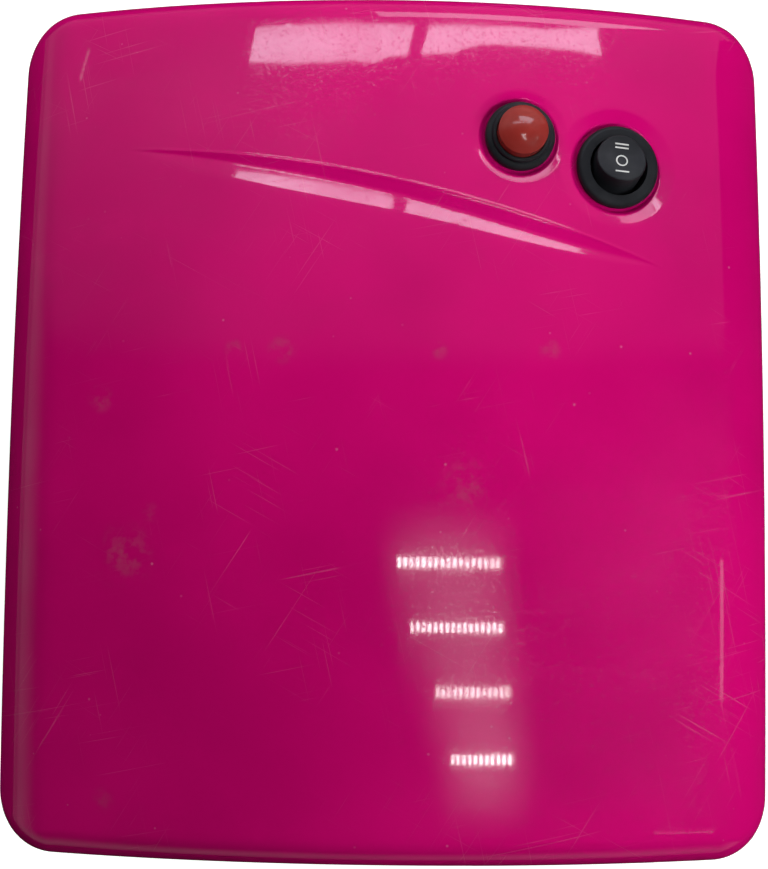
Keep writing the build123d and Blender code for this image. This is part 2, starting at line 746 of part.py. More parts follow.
# Spring clips that steady the free ends of the tubes
with BuildPart() as tube_clips:
    for index in range(4):
        reach = wall_reach(index)
        ring = limb_radius + slip
        with BuildSketch(lamp_plane(index).offset(limb_end + clip_offset)):
            with Locations(*limb_places):
                Circle(ring + clip_wall)
            with Locations(*limb_places):
                Circle(ring, mode=Mode.SUBTRACT)
            with Locations((0, -clip_mouth)):
                Rectangle(2 * limb_pitch, 2 * ring, align=(Align.CENTER, Align.MAX), mode=Mode.SUBTRACT)
            with Locations((0, ring)):
                Rectangle(limb_pitch, clip_wall, align=(Align.CENTER, Align.MIN))
                Rectangle(clip_stem, reach - ring, align=(Align.CENTER, Align.MIN))
            with Locations((0, reach)):
                Rectangle(clip_foot, clip_wall, align=(Align.CENTER, Align.MAX))
        extrude(amount=clip_width / 2, both=True)
        with Locations(clip_plane(index)):
            with GridLocations(rivet_pitch, 1, 2, 1):
                Cylinder(rivet_radius + slip, 3 * clip_wall, mode=Mode.SUBTRACT)
write(tube_clips, "tube_clips")

# Rivets through the clips, the bright sheet and the chamber wall
rivet_grip = clip_wall + sheet + skin_gap + chamber_wall + apart
with BuildPart() as clip_rivets:
    for index in range(4):
        inner = clip_plane(index).offset(-clip_wall - slip)
        for plane, direction in ((inner, HANGING), (inner.offset(rivet_grip), STANDING)):
            with Locations(plane):
                with GridLocations(rivet_pitch, 1, 2, 1):
                    Cylinder(rivet_head, clip_wall, align=direction)
        with Locations(inner):
            with GridLocations(rivet_pitch, 1, 2, 1):
                Cylinder(rivet_radius, rivet_grip, align=STANDING)
write(clip_rivets, "clip_rivets")

# Push button: bezel with a raised collar on a barrel
pocket_floor = 2 * slip
with BuildPart() as button_body:
    with Locations(button_seat):
        Cylinder(button_flange, button_flange_height, align=STANDING)
    fillet(button_body.edges().filter_by(GeomType.CIRCLE).group_by(Axis.Z)[-1], button_round)
    with Locations(button_seat):
        Cylinder(button_collar, button_flange_height + button_collar_height, align=STANDING)
    fillet(button_body.edges().filter_by(GeomType.CIRCLE).group_by(Axis.Z)[-1], button_collar_round)
    with Locations(button_seat.offset(-button_length)):
        Cylinder(button_barrel, button_length, align=STANDING)
        with GridLocations(1, 2 * button_terminal_gap, 1, 2):
            Box(button_terminal[0] + 2 * slip, button_terminal[1] + 2 * slip, button_length,
                align=STANDING, mode=Mode.SUBTRACT)
    with Locations(button_seat.offset(pocket_floor)):
        Cylinder(button_pocket, height, align=STANDING, mode=Mode.SUBTRACT)
    with Locations(button_seat.offset(button_floor - button_length)):
        Cylinder(button_bore, button_length, align=STANDING, mode=Mode.SUBTRACT)
write(button_body, "button_body")

# Red cap of the push button with its stem
cap_bottom = pocket_floor + button_travel + 2 * apart
with BuildPart() as button_cap:
    with Locations(button_seat.offset(cap_bottom)):
        Cylinder(dome_radius, dome_side, align=STANDING)
    dome_sphere = (dome_radius ** 2 + dome_rise ** 2) / (2 * dome_rise)
    with BuildSketch(Plane(button_seat.offset(cap_bottom + dome_side).origin,
                           x_dir=button_seat.x_dir, z_dir=-button_seat.y_dir)):
        with BuildLine():
            ThreePointArc((0, dome_rise),
                          (dome_radius / 2, dome_rise - dome_sphere
                           + sqrt(dome_sphere ** 2 - dome_radius ** 2 / 4)),
                          (dome_radius, 0))
            Polyline((dome_radius, 0), (0, 0), (0, dome_rise))
        make_face()
    revolve(axis=Axis(button_seat.origin, button_seat.z_dir))
    with Locations(button_seat.offset(-button_stem_length)):
        Cylinder(button_stem, button_stem_length + cap_bottom, align=STANDING)
write(button_cap, "button_cap")

# Brass contact disc under the stem
contact_top = -button_stem_length
with BuildPart() as button_contact:
    with Locations(button_seat.offset(contact_top - contact_sheet)):
        Cylinder(button_stem - slip, contact_sheet, align=STANDING)
write(button_contact, "button_contact")

# Return spring between the contact disc and the barrel's floor
spring_floor = button_floor - button_length + slip
spring_length = contact_top - contact_sheet - spring_floor - apart
with BuildPart() as button_spring:
    spring_start = button_seat.offset(spring_floor + button_spring_wire / 2)
    with BuildLine():
        Helix(pitch=(spring_length - button_spring_wire) / button_spring_turns,
              height=spring_length - button_spring_wire, radius=button_spring_radius,
              center=spring_start.origin, direction=spring_start.z_dir)
    coil = button_spring.pending_edges[0]
    with BuildSketch(Plane(coil @ 0, z_dir=coil % 0)):
        Circle(button_spring_wire / 2)
    sweep(is_frenet=True)
write(button_spring, "button_spring")

# Solder terminals of the push button
with BuildPart() as button_terminals:
    with Locations(button_seat.offset(button_floor - button_length)):
        with GridLocations(1, 2 * button_terminal_gap, 1, 2):
            Box(button_terminal[0], button_terminal[1], button_terminal[2], align=HANGING)
write(button_terminals, "button_terminals")

# Hexagonal nut that clamps the push button
with BuildPart() as button_nut:
    with BuildSketch(button_seat.offset(-pad_wall - button_nut_height)):
        RegularPolygon(button_nut_across / 2, 6, major_radius=False)
        Circle(button_barrel + slip, mode=Mode.SUBTRACT)
    extrude(amount=button_nut_height)
write(button_nut, "button_nut")

# Rocker switch: round housing with a well for the paddle
contact_dip = contact_length / 2 * sin(radians(contact_tilt))
well_floor = -pivot_depth - contact_drop - contact_sheet - contact_dip - 2 * apart
with BuildPart() as rocker_housing:
    with Locations(rocker_seat):
        Cylinder(rocker_flange, rocker_flange_height, align=STANDING)
    fillet(rocker_housing.edges().filter_by(GeomType.CIRCLE).group_by(Axis.Z)[-1], rocker_round)
    with Locations(rocker_seat.offset(-rocker_length)):
        Cylinder(rocker_barrel, rocker_length, align=STANDING)
        with Locations((0, 0, rocker_length - pad_wall - slip)):
            Box(2 * rocker_barrel + 2 * rocker_catch[1], rocker_catch[0], rocker_catch[2], align=HANGING)
    with Locations(rocker_seat.offset(well_floor)):
        Cylinder(rocker_cavity, height, align=STANDING, mode=Mode.SUBTRACT)
    with Locations(rocker_pivot):
        with Locations(Plane.YZ):
            Cylinder(pivot_radius + running, 2 * (rocker_cavity + pivot_radius), mode=Mode.SUBTRACT)
    with Locations(rocker_seat.offset(-rocker_length)):
        with GridLocations(1, rocker_terminal_pitch, 1, 3):
            Box(rocker_terminal[0] + 2 * slip, rocker_terminal[1] + 2 * slip, rocker_length,
                align=STANDING, mode=Mode.SUBTRACT)
write(rocker_housing, "rocker_housing")

# Paddle, pressed at its back half: a round block with a hollowed face on two pivot stubs
tilt = radians(rocker_tilt)
paddle_plane = Plane(rocker_pivot.origin, x_dir=rocker_pivot.x_dir,
                     z_dir=rocker_pivot.z_dir * cos(tilt) + rocker_pivot.y_dir * sin(tilt))
paddle_edge = paddle_face + paddle_radius * tan(radians(paddle_hollow))
span = 2 * paddle_radius
span_top = paddle_face + span * tan(radians(paddle_hollow))
with BuildPart() as rocker_paddle:
    with Locations(paddle_plane.offset(-paddle_skirt)):
        Cone(paddle_radius, paddle_top, paddle_skirt + paddle_edge, align=STANDING)
    with BuildSketch(Plane(paddle_plane.origin, x_dir=paddle_plane.y_dir, z_dir=paddle_plane.x_dir)):
        with BuildLine():
            ThreePointArc((-span, span_top), (0, paddle_face), (span, span_top))
            Line((span, span_top), (-span, span_top))
        make_face()
    extrude(amount=span, both=True, mode=Mode.SUBTRACT)
    fillet(rocker_paddle.edges().group_by(Axis.Z)[-1], paddle_round)
    with Locations(paddle_plane):
        with Locations(Plane.YZ):
            Cylinder(pivot_radius, 2 * (rocker_cavity + pivot_radius - apart))
    with Locations(paddle_plane.offset(-paddle_skirt)):
        Cylinder(plunger_radius + running, 2 * paddle_skirt, align=STANDING, mode=Mode.SUBTRACT)
write(rocker_paddle, "rocker_paddle")

# Sprung plunger in the paddle
plunger_top = -paddle_skirt + apart
with BuildPart() as rocker_plunger:
    with Locations(paddle_plane.offset(-plunger_drop)):
        Cylinder(plunger_radius, plunger_drop + plunger_top, align=STANDING)
    fillet(rocker_plunger.edges().filter_by(GeomType.CIRCLE).group_by(Axis.Z)[0], plunger_round)
write(rocker_plunger, "rocker_plunger")

# Spring between the plunger and the top of the paddle's bore
coil_start = paddle_plane.offset(plunger_top + slip + rocker_spring_wire / 2)
coil_length = paddle_skirt - plunger_top - 2 * slip - rocker_spring_wire
with BuildPart() as rocker_spring:
    with BuildLine():
        Helix(pitch=coil_length / rocker_spring_turns, height=coil_length,
              radius=rocker_spring_radius, center=coil_start.origin, direction=coil_start.z_dir)
    coil = rocker_spring.pending_edges[0]
    with BuildSketch(Plane(coil @ 0, z_dir=coil % 0)):
        Circle(rocker_spring_wire / 2)
    sweep(is_frenet=True)
write(rocker_spring, "rocker_spring")

# See-saw contact strip on the middle terminal
contact_angle = radians(contact_tilt)
contact_pivot = rocker_pivot.offset(-contact_drop)
contact_plane = Plane(contact_pivot.origin, x_dir=contact_pivot.x_dir,
                      z_dir=contact_pivot.z_dir * cos(contact_angle) - contact_pivot.y_dir * sin(contact_angle))
with BuildPart() as rocker_contact:
    with Locations(contact_plane):
        Box(contact_width, contact_length, contact_sheet, align=HANGING)
write(rocker_contact, "rocker_contact")

# Terminals of the rocker switch, the middle one standing higher as the fulcrum
with BuildPart() as rocker_terminals:
    for step in (-1, 0, 1):
        top = -pivot_depth - contact_drop - contact_sheet - apart if step == 0 else well_floor + slip
        bottom = -rocker_length - rocker_terminal[2]
        with Locations(rocker_seat.offset(bottom)):
            with Locations((0, step * rocker_terminal_pitch, 0)):
                Box(rocker_terminal[0], rocker_terminal[1], top - bottom, align=STANDING)
write(rocker_terminals, "rocker_terminals")

# Fuse holder in the rear wall: body, nut, quarter-turn cap and fuse link
fuse_seat = Plane((fuse_x, panel_y, panel_z), x_dir=(1, 0, 0), z_dir=(0, 1, 0))
panel_inner = panel_depth - wall - panel_z * tan(radians(draft))
with BuildPart() as fuse_body:
    with Locations(fuse_seat):
        Cylinder(fuse_flange, fuse_flange_height, align=STANDING)
    with Locations(fuse_seat.offset(-fuse_length)):
        Cylinder(fuse_barrel, fuse_length, align=STANDING)
    with Locations(fuse_seat.offset(fuse_floor - fuse_length)):
        Cylinder(fuse_bore, fuse_length + fuse_flange_height, align=STANDING, mode=Mode.SUBTRACT)
write(fuse_body, "fuse_holder")

with BuildPart() as fuse_nut:
    with BuildSketch(fuse_seat.offset(panel_inner - fuse_nut_height)):
        RegularPolygon(fuse_nut_radius, 6, major_radius=False)
        Circle(fuse_barrel + slip, mode=Mode.SUBTRACT)
    extrude(amount=fuse_nut_height)
write(fuse_nut, "fuse_nut")

knob_base = fuse_flange_height + apart
with BuildPart() as fuse_cap:
    with Locations(fuse_seat.offset(knob_base)):
        Cylinder(fuse_knob, fuse_knob_height, align=STANDING)
    fillet(fuse_cap.edges().filter_by(GeomType.CIRCLE).group_by(Axis.Y)[-1], fuse_knob_round)
    with Locations(fuse_seat.offset(knob_base + fuse_knob_height)):
        Box(2 * fuse_knob, fuse_slot[0], 2 * fuse_slot[1], mode=Mode.SUBTRACT)
    with Locations(fuse_seat.offset(-fuse_stem)):
        Cylinder(fuse_bore - running, fuse_stem + knob_base, align=STANDING)
write(fuse_cap, "fuse_cap")

link_end = -fuse_stem - apart
with BuildPart() as fuse_link:
    with Locations(fuse_seat.offset(link_end)):
        Cylinder(fuse_glass, fuse_link_length, align=HANGING)
        Cylinder(fuse_ferrule, fuse_ferrule_length, align=HANGING)
    with Locations(fuse_seat.offset(link_end - fuse_link_length)):
        Cylinder(fuse_ferrule, fuse_ferrule_length, align=STANDING)
write(fuse_link, "fuse_link")

# Cord gland in the rear wall
gland_seat = Plane((gland_x, panel_y, panel_z), x_dir=(1, 0, 0), z_dir=(0, 1, 0))
gland_reach = rear_reach + panel_depth
with BuildPart() as cord_gland:
    with Locations(gland_seat):
        Cylinder(gland_flange, gland_flange_height, align=STANDING)
    with Locations(gland_seat.offset(gland_flange_height)):
        Cone(gland_shoulder, gland_bore + gland_wall, gland_reach - gland_flange_height, align=STANDING)
    with Locations(gland_seat.offset(-gland_tail)):
        Cylinder(gland_barrel, gland_tail, align=STANDING)
        Cylinder(gland_bore, gland_tail + gland_reach, align=STANDING, mode=Mode.SUBTRACT)
write(cord_gland, "cord_gland")

# Ballast and timer boards on their posts
boards = (("ballast_board", ballast_at, ballast_size), ("timer_board", timer_at, timer_size))
for name, centre, size in boards:
    with BuildPart() as circuit:
        with BuildSketch(Plane((centre[0], rear_y + centre[1], floor_top + board_lift))):
            Rectangle(size[0], size[1])
            with GridLocations(size[0] - 2 * board_inset, size[1] - 2 * board_inset, 2, 2):
                Circle(board_screw + 2 * slip, mode=Mode.SUBTRACT)
        extrude(amount=board)
    write(circuit, name)

board_top = floor_top + board_lift + board
with BuildPart() as board_screws:
    for name, centre, size in boards:
        with Locations((centre[0], rear_y + centre[1], board_top)):
            with GridLocations(size[0] - 2 * board_inset, size[1] - 2 * board_inset, 2, 2):
                Cylinder(board_screw_head[0], board_screw_head[1], align=STANDING)
                Cylinder(board_screw, board_lift + board + floor / 2 - slip, align=HANGING)
write(board_screws, "board_screws")

# Parts soldered to the ballast board
ballast_top = Plane((ballast_at[0], rear_y + ballast_at[1], board_top))
with BuildPart() as ballast_chokes:
    with Locations(ballast_top):
        with GridLocations(choke_pitch, 1, 4, 1):
            Box(choke_flange[0], choke_flange[1], choke_foot, align=STANDING)
            with Locations((0, 0, choke_foot)):
                Cylinder(choke_coil[0], choke_coil[1], align=STANDING)
            with Locations((0, 0, choke_foot + choke_coil[1])):
                Box(choke_flange[0], choke_flange[1], choke_top, align=STANDING)
write(ballast_chokes, "ballast_chokes")

with BuildPart() as ballast_capacitors:
    with Locations(ballast_top):
        with Locations((0, capacitor_row, 0)):
            with GridLocations(capacitor_pitch, 1, 3, 1):
                Cylinder(capacitor[0], capacitor[1], align=STANDING)
write(ballast_capacitors, "ballast_capacitors")

with BuildPart() as ballast_transistors:
    with Locations(ballast_top):
        with Locations((0, transistor_row, 0)):
            with GridLocations(transistor_pitch, 1, 4, 1):
                Box(transistor[0], transistor[1], transistor[2], align=STANDING)
write(ballast_transistors, "ballast_transistors")

# Parts soldered to the timer board
timer_top = Plane((timer_at[0], rear_y + timer_at[1], board_top))
with BuildPart() as timer_relay:
    with Locations(timer_top):
        with Locations((relay_at[0], relay_at[1], 0)):
            Box(relay[0], relay[1], relay[2], align=STANDING)
write(timer_relay, "timer_relay")

with BuildPart() as timer_parts:
    with Locations(timer_top):
        with Locations((chip_at[0], chip_at[1], 0)):
            Box(chip[0], chip[1], chip[2], align=STANDING)
        with Locations((timer_capacitors_at[0], timer_capacitors_at[1], 0)):
            with GridLocations(timer_capacitor_pitch, 1, 2, 1):
                Cylinder(timer_capacitor[0], timer_capacitor[1], align=STANDING)
write(timer_parts, "timer_parts")

# Wires of the rear bay: mains and switch wires run singly, lamp wires in pairs
bundles = (("mains_wires", mains_routes, (0,)), ("switch_wires", switch_routes, (0,)),
           ("lamp_wires", lamp_routes, (-wire_pair, wire_pair)))
for name, routes, shifts in bundles:
    with BuildPart() as bundle:
        for route in routes:
            for shift in shifts:
                add(wire(route, shift))
    write(bundle, name)
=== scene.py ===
"""Looks of a UV nail lamp: finishes, smooth visible pieces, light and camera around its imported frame.

Sizes are in millimetres and angles in degrees; meshes are written in metres, in the frame's own axes:
+X to the right, +Y to the rear wall and +Z up.
"""

import json
import logging
import math
from collections.abc import Callable
from dataclasses import dataclass, field
from enum import Enum
from typing import Protocol

import bpy
import numpy as np
from mathutils import Matrix, Vector

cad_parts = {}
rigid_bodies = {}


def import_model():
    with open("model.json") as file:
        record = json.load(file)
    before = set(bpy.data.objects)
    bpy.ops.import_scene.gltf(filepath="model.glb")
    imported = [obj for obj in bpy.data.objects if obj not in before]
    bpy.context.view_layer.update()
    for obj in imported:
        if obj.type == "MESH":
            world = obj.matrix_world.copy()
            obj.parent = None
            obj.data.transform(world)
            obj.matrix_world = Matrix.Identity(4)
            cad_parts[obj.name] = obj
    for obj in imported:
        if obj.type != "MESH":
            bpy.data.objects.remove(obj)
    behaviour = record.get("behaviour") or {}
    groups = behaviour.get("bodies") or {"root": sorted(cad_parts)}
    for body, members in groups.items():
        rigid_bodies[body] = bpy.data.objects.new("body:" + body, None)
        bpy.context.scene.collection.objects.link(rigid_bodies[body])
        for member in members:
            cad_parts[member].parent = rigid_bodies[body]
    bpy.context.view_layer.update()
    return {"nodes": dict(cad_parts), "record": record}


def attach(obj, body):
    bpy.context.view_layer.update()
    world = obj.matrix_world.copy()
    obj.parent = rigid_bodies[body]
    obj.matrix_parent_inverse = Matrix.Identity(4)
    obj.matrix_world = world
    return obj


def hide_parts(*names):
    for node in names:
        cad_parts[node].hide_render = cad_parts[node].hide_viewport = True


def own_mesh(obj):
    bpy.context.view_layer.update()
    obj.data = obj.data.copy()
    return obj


for leftover in list(bpy.data.objects):
    bpy.data.objects.remove(leftover)
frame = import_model()
SLOTS = {part["node"]: part["material_slot"] for part in frame["record"]["subparts"]}

LOG = logging.getLogger("nail_lamp")
MM = 0.001
TINY = 1e-9
PHOTO_WIDTH = 768
PHOTO_HEIGHT = 869

Colour = tuple[float, float, float]
Point = tuple[float, float, float]
Pair = tuple[float, float]
Faces = list[tuple[int, ...]]
Solid = tuple[np.ndarray, Faces]


class Body(Enum):
    """Bodies of the frame that the scene's own pieces ride on."""

    HOUSING = "housing"
    ROCKER = "rocker"


class Texture(Enum):
    """Blender's texture nodes that the finishes use."""

    NOISE = "ShaderNodeTexNoise"
    CELLS = "ShaderNodeTexVoronoi"
    WAVES = "ShaderNodeTexWave"


class Nodes:
    """Short calls for the nodes of one tree."""

    def __init__(self, tree: bpy.types.NodeTree) -> None:
        """Take a tree to build in."""
        self.tree = tree

    def new(self, kind: str) -> bpy.types.Node:
        """Add a node of a kind."""
        return self.tree.nodes.new(kind)

    def link(self, output: bpy.types.NodeSocket, socket: bpy.types.NodeSocket) -> None:
        """Join an output to an input."""
        self.tree.links.new(output, socket)

    def ramp(self, value: bpy.types.NodeSocket, low: float, high: float,
             start: float = 0.0, end: float = 1.0) -> bpy.types.NodeSocket:
        """Map a value from one range to another, smoothly and clamped.

        Args:
            value: Output to map.
            low: Value that becomes start.
            high: Value that becomes end.
            start: Result at low.
            end: Result at high.

        Returns:
            The mapped output.
        """
        node = self.new("ShaderNodeMapRange")
        node.interpolation_type = "SMOOTHSTEP"
        self.link(value, node.inputs["Value"])
        for name, number in (("From Min", low), ("From Max", high), ("To Min", start), ("To Max", end)):
            node.inputs[name].default_value = number
        return node.outputs["Result"]

    def combine(self, first: bpy.types.NodeSocket, second: bpy.types.NodeSocket | float,
                operation: str = "ADD") -> bpy.types.NodeSocket:
        """Join two values by arithmetic.

        Args:
            first: First value.
            second: Second value, a number or an output.
            operation: Name of the operation.

        Returns:
            The result's output.
        """
        node = self.new("ShaderNodeMath")
        node.operation = operation
        self.link(first, node.inputs[0])
        if isinstance(second, (int, float)):
            node.inputs[1].default_value = second
        else:
            self.link(second, node.inputs[1])
        return node.outputs["Value"]

    def by_ray(self, other: float, gloss: float | bpy.types.NodeSocket,
               camera: float) -> bpy.types.NodeSocket:
        """Strength that depends on the kind of ray that meets it.

        Args:
            other: Strength for light that bounces.
            gloss: Strength, or the output that carries it, for glossy and transmission rays.
            camera: Strength for camera rays.

        Returns:
            The output that carries the strength.
        """
        rays = self.new("ShaderNodeLightPath")
        kinds = (("Is Glossy Ray", gloss), ("Is Transmission Ray", gloss), ("Is Camera Ray", camera))
        total: float | bpy.types.NodeSocket = other
        for kind, value in kinds:
            mix = self.new("ShaderNodeMix")
            mix.data_type = "FLOAT"
            self.link(rays.outputs[kind], mix.inputs["Factor"])
            for socket, source in ((mix.inputs[2], total), (mix.inputs[3], value)):
                if isinstance(source, float):
                    socket.default_value = source
                else:
                    self.link(source, socket)
            total = mix.outputs[0]
        return total


class Graph(Nodes):
    """Node graph of one material, with short calls for the nodes that the finishes need."""

    def __init__(self, name: str) -> None:
        """Start a material with its surface shader.

        Args:
            name: Name of the material.
        """
        self.material = bpy.data.materials.new(name)
        self.material.use_nodes = True
        super().__init__(self.material.node_tree)
        self.shader = self.tree.nodes["Principled BSDF"]
        self.place = self.new("ShaderNodeTexCoord").outputs["Object"]

    def set(self, **values: float | Colour) -> None:
        """Set constants on the shader's own sockets, with spaces written as underscores.

        Args:
            **values: Socket names and their values.
        """
        for name, value in values.items():
            socket = self.shader.inputs[name.replace("_", " ")]
            socket.default_value = (*value, 1.0) if isinstance(value, tuple) else value

    def drive(self, name: str, output: bpy.types.NodeSocket) -> None:
        """Feed one of the shader's sockets from a node's output."""
        self.link(output, self.shader.inputs[name])

    def stretch(self, scale: Point, turn: Point = (0, 0, 0)) -> bpy.types.NodeSocket:
        """Object coordinates turned first and scaled after that.

        Args:
            scale: Scale along each turned axis.
            turn: Rotation about each axis, in degrees.

        Returns:
            Output that carries the coordinates.
        """
        node = self.new("ShaderNodeMapping")
        node.vector_type = "TEXTURE"
        self.link(self.place, node.inputs["Vector"])
        node.inputs["Scale"].default_value = [1 / s for s in scale]
        node.inputs["Rotation"].default_value = [math.radians(t) for t in turn]
        return node.outputs["Vector"]

    def texture(self, kind: Texture, scale: float, place: bpy.types.NodeSocket | None = None,
                output: str | int = 0, **settings: float) -> bpy.types.NodeSocket:
        """A procedural texture.

        Args:
            kind: Which texture node.
            scale: Its scale, per metre.
            place: Coordinates, or the object's own.
            output: Name or index of the output to return.
            **settings: Other input sockets by name.

        Returns:
            The chosen output.
        """
        node = self.new(kind.value)
        self.link(place or self.place, node.inputs["Vector"])
        node.inputs["Scale"].default_value = scale
        for name, value in settings.items():
            node.inputs[name.replace("_", " ")].default_value = value
        return node.outputs[output]

    def blend(self, amount: bpy.types.NodeSocket, first: Colour | bpy.types.NodeSocket,
              second: Colour | bpy.types.NodeSocket) -> bpy.types.NodeSocket:
        """Mix two colours.

        Args:
            amount: Share of the second colour.
            first: Colour or output at zero.
            second: Colour or output at one.

        Returns:
            The mixed colour's output.
        """
        node = self.new("ShaderNodeMix")
        node.data_type = "RGBA"
        self.link(amount, node.inputs["Factor"])
        for socket, value in ((node.inputs[6], first), (node.inputs[7], second)):
            if isinstance(value, tuple):
                socket.default_value = (*value, 1.0)
            else:
                self.link(value, socket)
        return node.outputs[2]

    def bump(self, height: bpy.types.NodeSocket, depth: float, strength: float = 1.0) -> None:
        """Bump the surface by a height texture.

        Args:
            height: Output that carries the height.
            depth: Depth in metres at a height of one.
            strength: Share of the effect.
        """
        node = self.new("ShaderNodeBump")
        node.inputs["Distance"].default_value = depth
        node.inputs["Strength"].default_value = strength
        self.link(height, node.inputs["Height"])
        if self.shader.inputs["Normal"].is_linked:
            earlier = self.shader.inputs["Normal"].links[0].from_socket
            self.link(earlier, node.inputs["Normal"])
        self.drive("Normal", node.outputs["Normal"])


class Finish(Protocol):
    """Anything that makes a material."""

    def build(self) -> bpy.types.Material:
        """Make the material."""


@dataclass(frozen=True)
class GlossyShell:
    """Glossy pigmented moulding with handling marks: swirls, short scratches and faint stains."""

    name: str
    colour: Colour
    worn: float = 1.0
    roughness: float = 0.035
    stains: tuple[tuple[Point, float], ...] = ()
    stain_colour: Colour = (0.40, 0.060, 0.12)
    stain_share: float = 0.50
    stain_scale: float = 260.0
    stain_cut: Pair = (0.42, 0.66)
    shade: Pair = (0.90, 1.10)
    shade_lift: float = 0.001
    cloud_scale: float = 9.0
    cloud_cut: Pair = (0.35, 0.65)
    haze_scale: float = 60.0
    haze_cut: Pair = (0.5, 0.78)
    haze_share: float = 0.25
    speck_colour: Colour = (0.62, 0.16, 0.30)
    speck_cells: float = 170.0
    speck_size: Pair = (0.075, 0.04)
    speck_patch: float = 55.0
    speck_cut: Pair = (0.50, 0.62)
    speck_share: float = 0.5
    swirl_turns: tuple[float, ...] = (12.0, 58.0, 103.0, 151.0)
    scratch_long: float = 30.0
    scratch_fine: float = 2300.0
    scratch_step: float = 320.0
    scratch_cut: Pair = (0.69, 0.77)
    scratch_patch: float = 20.0
    scratch_patch_cut: Pair = (0.44, 0.62)
    scratch_share: float = 0.20
    scratch_lift: float = 0.14
    scratch_rough: float = 0.12
    scratch_depth: float = 0.000002
    gloss_cut: Pair = (0.3, 0.8)
    gloss_range: Pair = (0.7, 1.5)
    grain_scale: float = 1500.0
    grain_cut: Pair = (0.52, 0.72)
    grain_rough: float = 0.16
    smear_scale: Point = (22.0, 34.0, 22.0)
    smear_turn: float = 20.0
    smear_cut: Pair = (0.36, 0.62)
    smear_loss: float = 0.26
    ripple_scale: float = 40.0
    ripple_depth: float = 0.00001

    def build(self) -> bpy.types.Material:
        """Make the material.

        Returns:
            The material.
        """
        graph = Graph(self.name)
        haze = graph.texture(Texture.NOISE, self.haze_scale, Detail=6.0, Roughness=0.7)
        scratches = self._scratches(graph)
        graph.drive("Base Color", self._pigment(graph, haze, scratches))
        graph.drive("Coat Roughness", self._coat_roughness(graph, haze, scratches))
        smear = graph.texture(Texture.NOISE, 1.0, graph.stretch(self.smear_scale, (0, 0, self.smear_turn)),
                              Detail=6.0, Roughness=0.62, Distortion=0.6)
        graph.drive("Coat Weight", graph.ramp(smear, *self.smear_cut, 1.0 - self.smear_loss * self.worn, 1.0))
        graph.set(Roughness=0.5, Specular_IOR_Level=0.0, Coat_IOR=1.5)
        graph.bump(graph.texture(Texture.NOISE, self.ripple_scale, Detail=2.0), self.ripple_depth)
        graph.bump(scratches, -self.scratch_depth * self.worn)
        return graph.material

    def _pigment(self, graph: Graph, haze: bpy.types.NodeSocket,
                 scratches: bpy.types.NodeSocket) -> bpy.types.NodeSocket:
        """Colour of the moulding below its gloss, with haze, stains, specks and scratches.

        Args:
            graph: Graph to build in.
            haze: Output of the fine haze.
            scratches: Mask of the scratches.

        Returns:
            The colour's output.
        """
        low, high = self.shade
        deeper = tuple(c * low for c in self.colour)
        paler = tuple(min(1.0, c * high + self.shade_lift) for c in self.colour)
        cloud = graph.texture(Texture.NOISE, self.cloud_scale, Detail=3.0, Roughness=0.55)
        colour = graph.blend(graph.ramp(cloud, *self.cloud_cut), deeper, paler)
        hazy = graph.ramp(haze, *self.haze_cut, 0.0, self.haze_share * self.worn)
        colour = graph.blend(hazy, colour, paler)
        for place, reach in self.stains:
            colour = graph.blend(self._stain(graph, place, reach), colour, self.stain_colour)
        cells = graph.texture(Texture.CELLS, self.speck_cells, output="Distance")
        specks = graph.ramp(cells, *self.speck_size)
        patches = graph.texture(Texture.NOISE, self.speck_patch, Detail=3.0)
        thin = graph.ramp(patches, *self.speck_cut, 0.0, self.speck_share * self.worn)
        colour = graph.blend(graph.combine(specks, thin, "MULTIPLY"), colour, self.speck_colour)
        return graph.blend(graph.ramp(scratches, 0.0, 1.0, 0.0, self.scratch_share * self.worn), colour,
                           tuple(min(1.0, c + self.scratch_lift) for c in self.colour))

    def _coat_roughness(self, graph: Graph, haze: bpy.types.NodeSocket,
                        scratches: bpy.types.NodeSocket) -> bpy.types.NodeSocket:
        """Roughness of the gloss, raised by haze, scratches and a fine grain of wiping marks.

        Args:
            graph: Graph to build in.
            haze: Output of the fine haze.
            scratches: Mask of the scratches.

        Returns:
            The roughness output.
        """
        smooth, dull = self.gloss_range
        base = graph.ramp(haze, *self.gloss_cut, self.roughness * smooth, self.roughness * dull)
        rough = graph.combine(base, graph.ramp(scratches, 0.0, 1.0, 0.0, self.scratch_rough * self.worn))
        grain = graph.texture(Texture.NOISE, self.grain_scale, Detail=2.0, Roughness=0.8)
        return graph.combine(rough, graph.ramp(grain, *self.grain_cut, 0.0, self.grain_rough * self.worn))

    def _scratches(self, graph: Graph) -> bpy.types.NodeSocket:
        """Fine scratches in several directions, broken up by a patchy mask.

        Args:
            graph: Graph to build in.

        Returns:
            The mask's output.
        """
        total = None
        patches = graph.texture(Texture.NOISE, self.scratch_patch, Detail=4.0, Roughness=0.7)
        patch = graph.ramp(patches, *self.scratch_patch_cut)
        for index, turn in enumerate(self.swirl_turns):
            scale = (self.scratch_long, self.scratch_fine + self.scratch_step * index, self.scratch_long)
            lines = graph.texture(Texture.NOISE, 1.0, graph.stretch(scale, (0, 0, turn)), Detail=1.0,
                                  Distortion=0.45)
            lines = graph.ramp(lines, *self.scratch_cut)
            total = lines if total is None else graph.combine(total, lines, "MAXIMUM")
        return graph.combine(total, patch, "MULTIPLY")

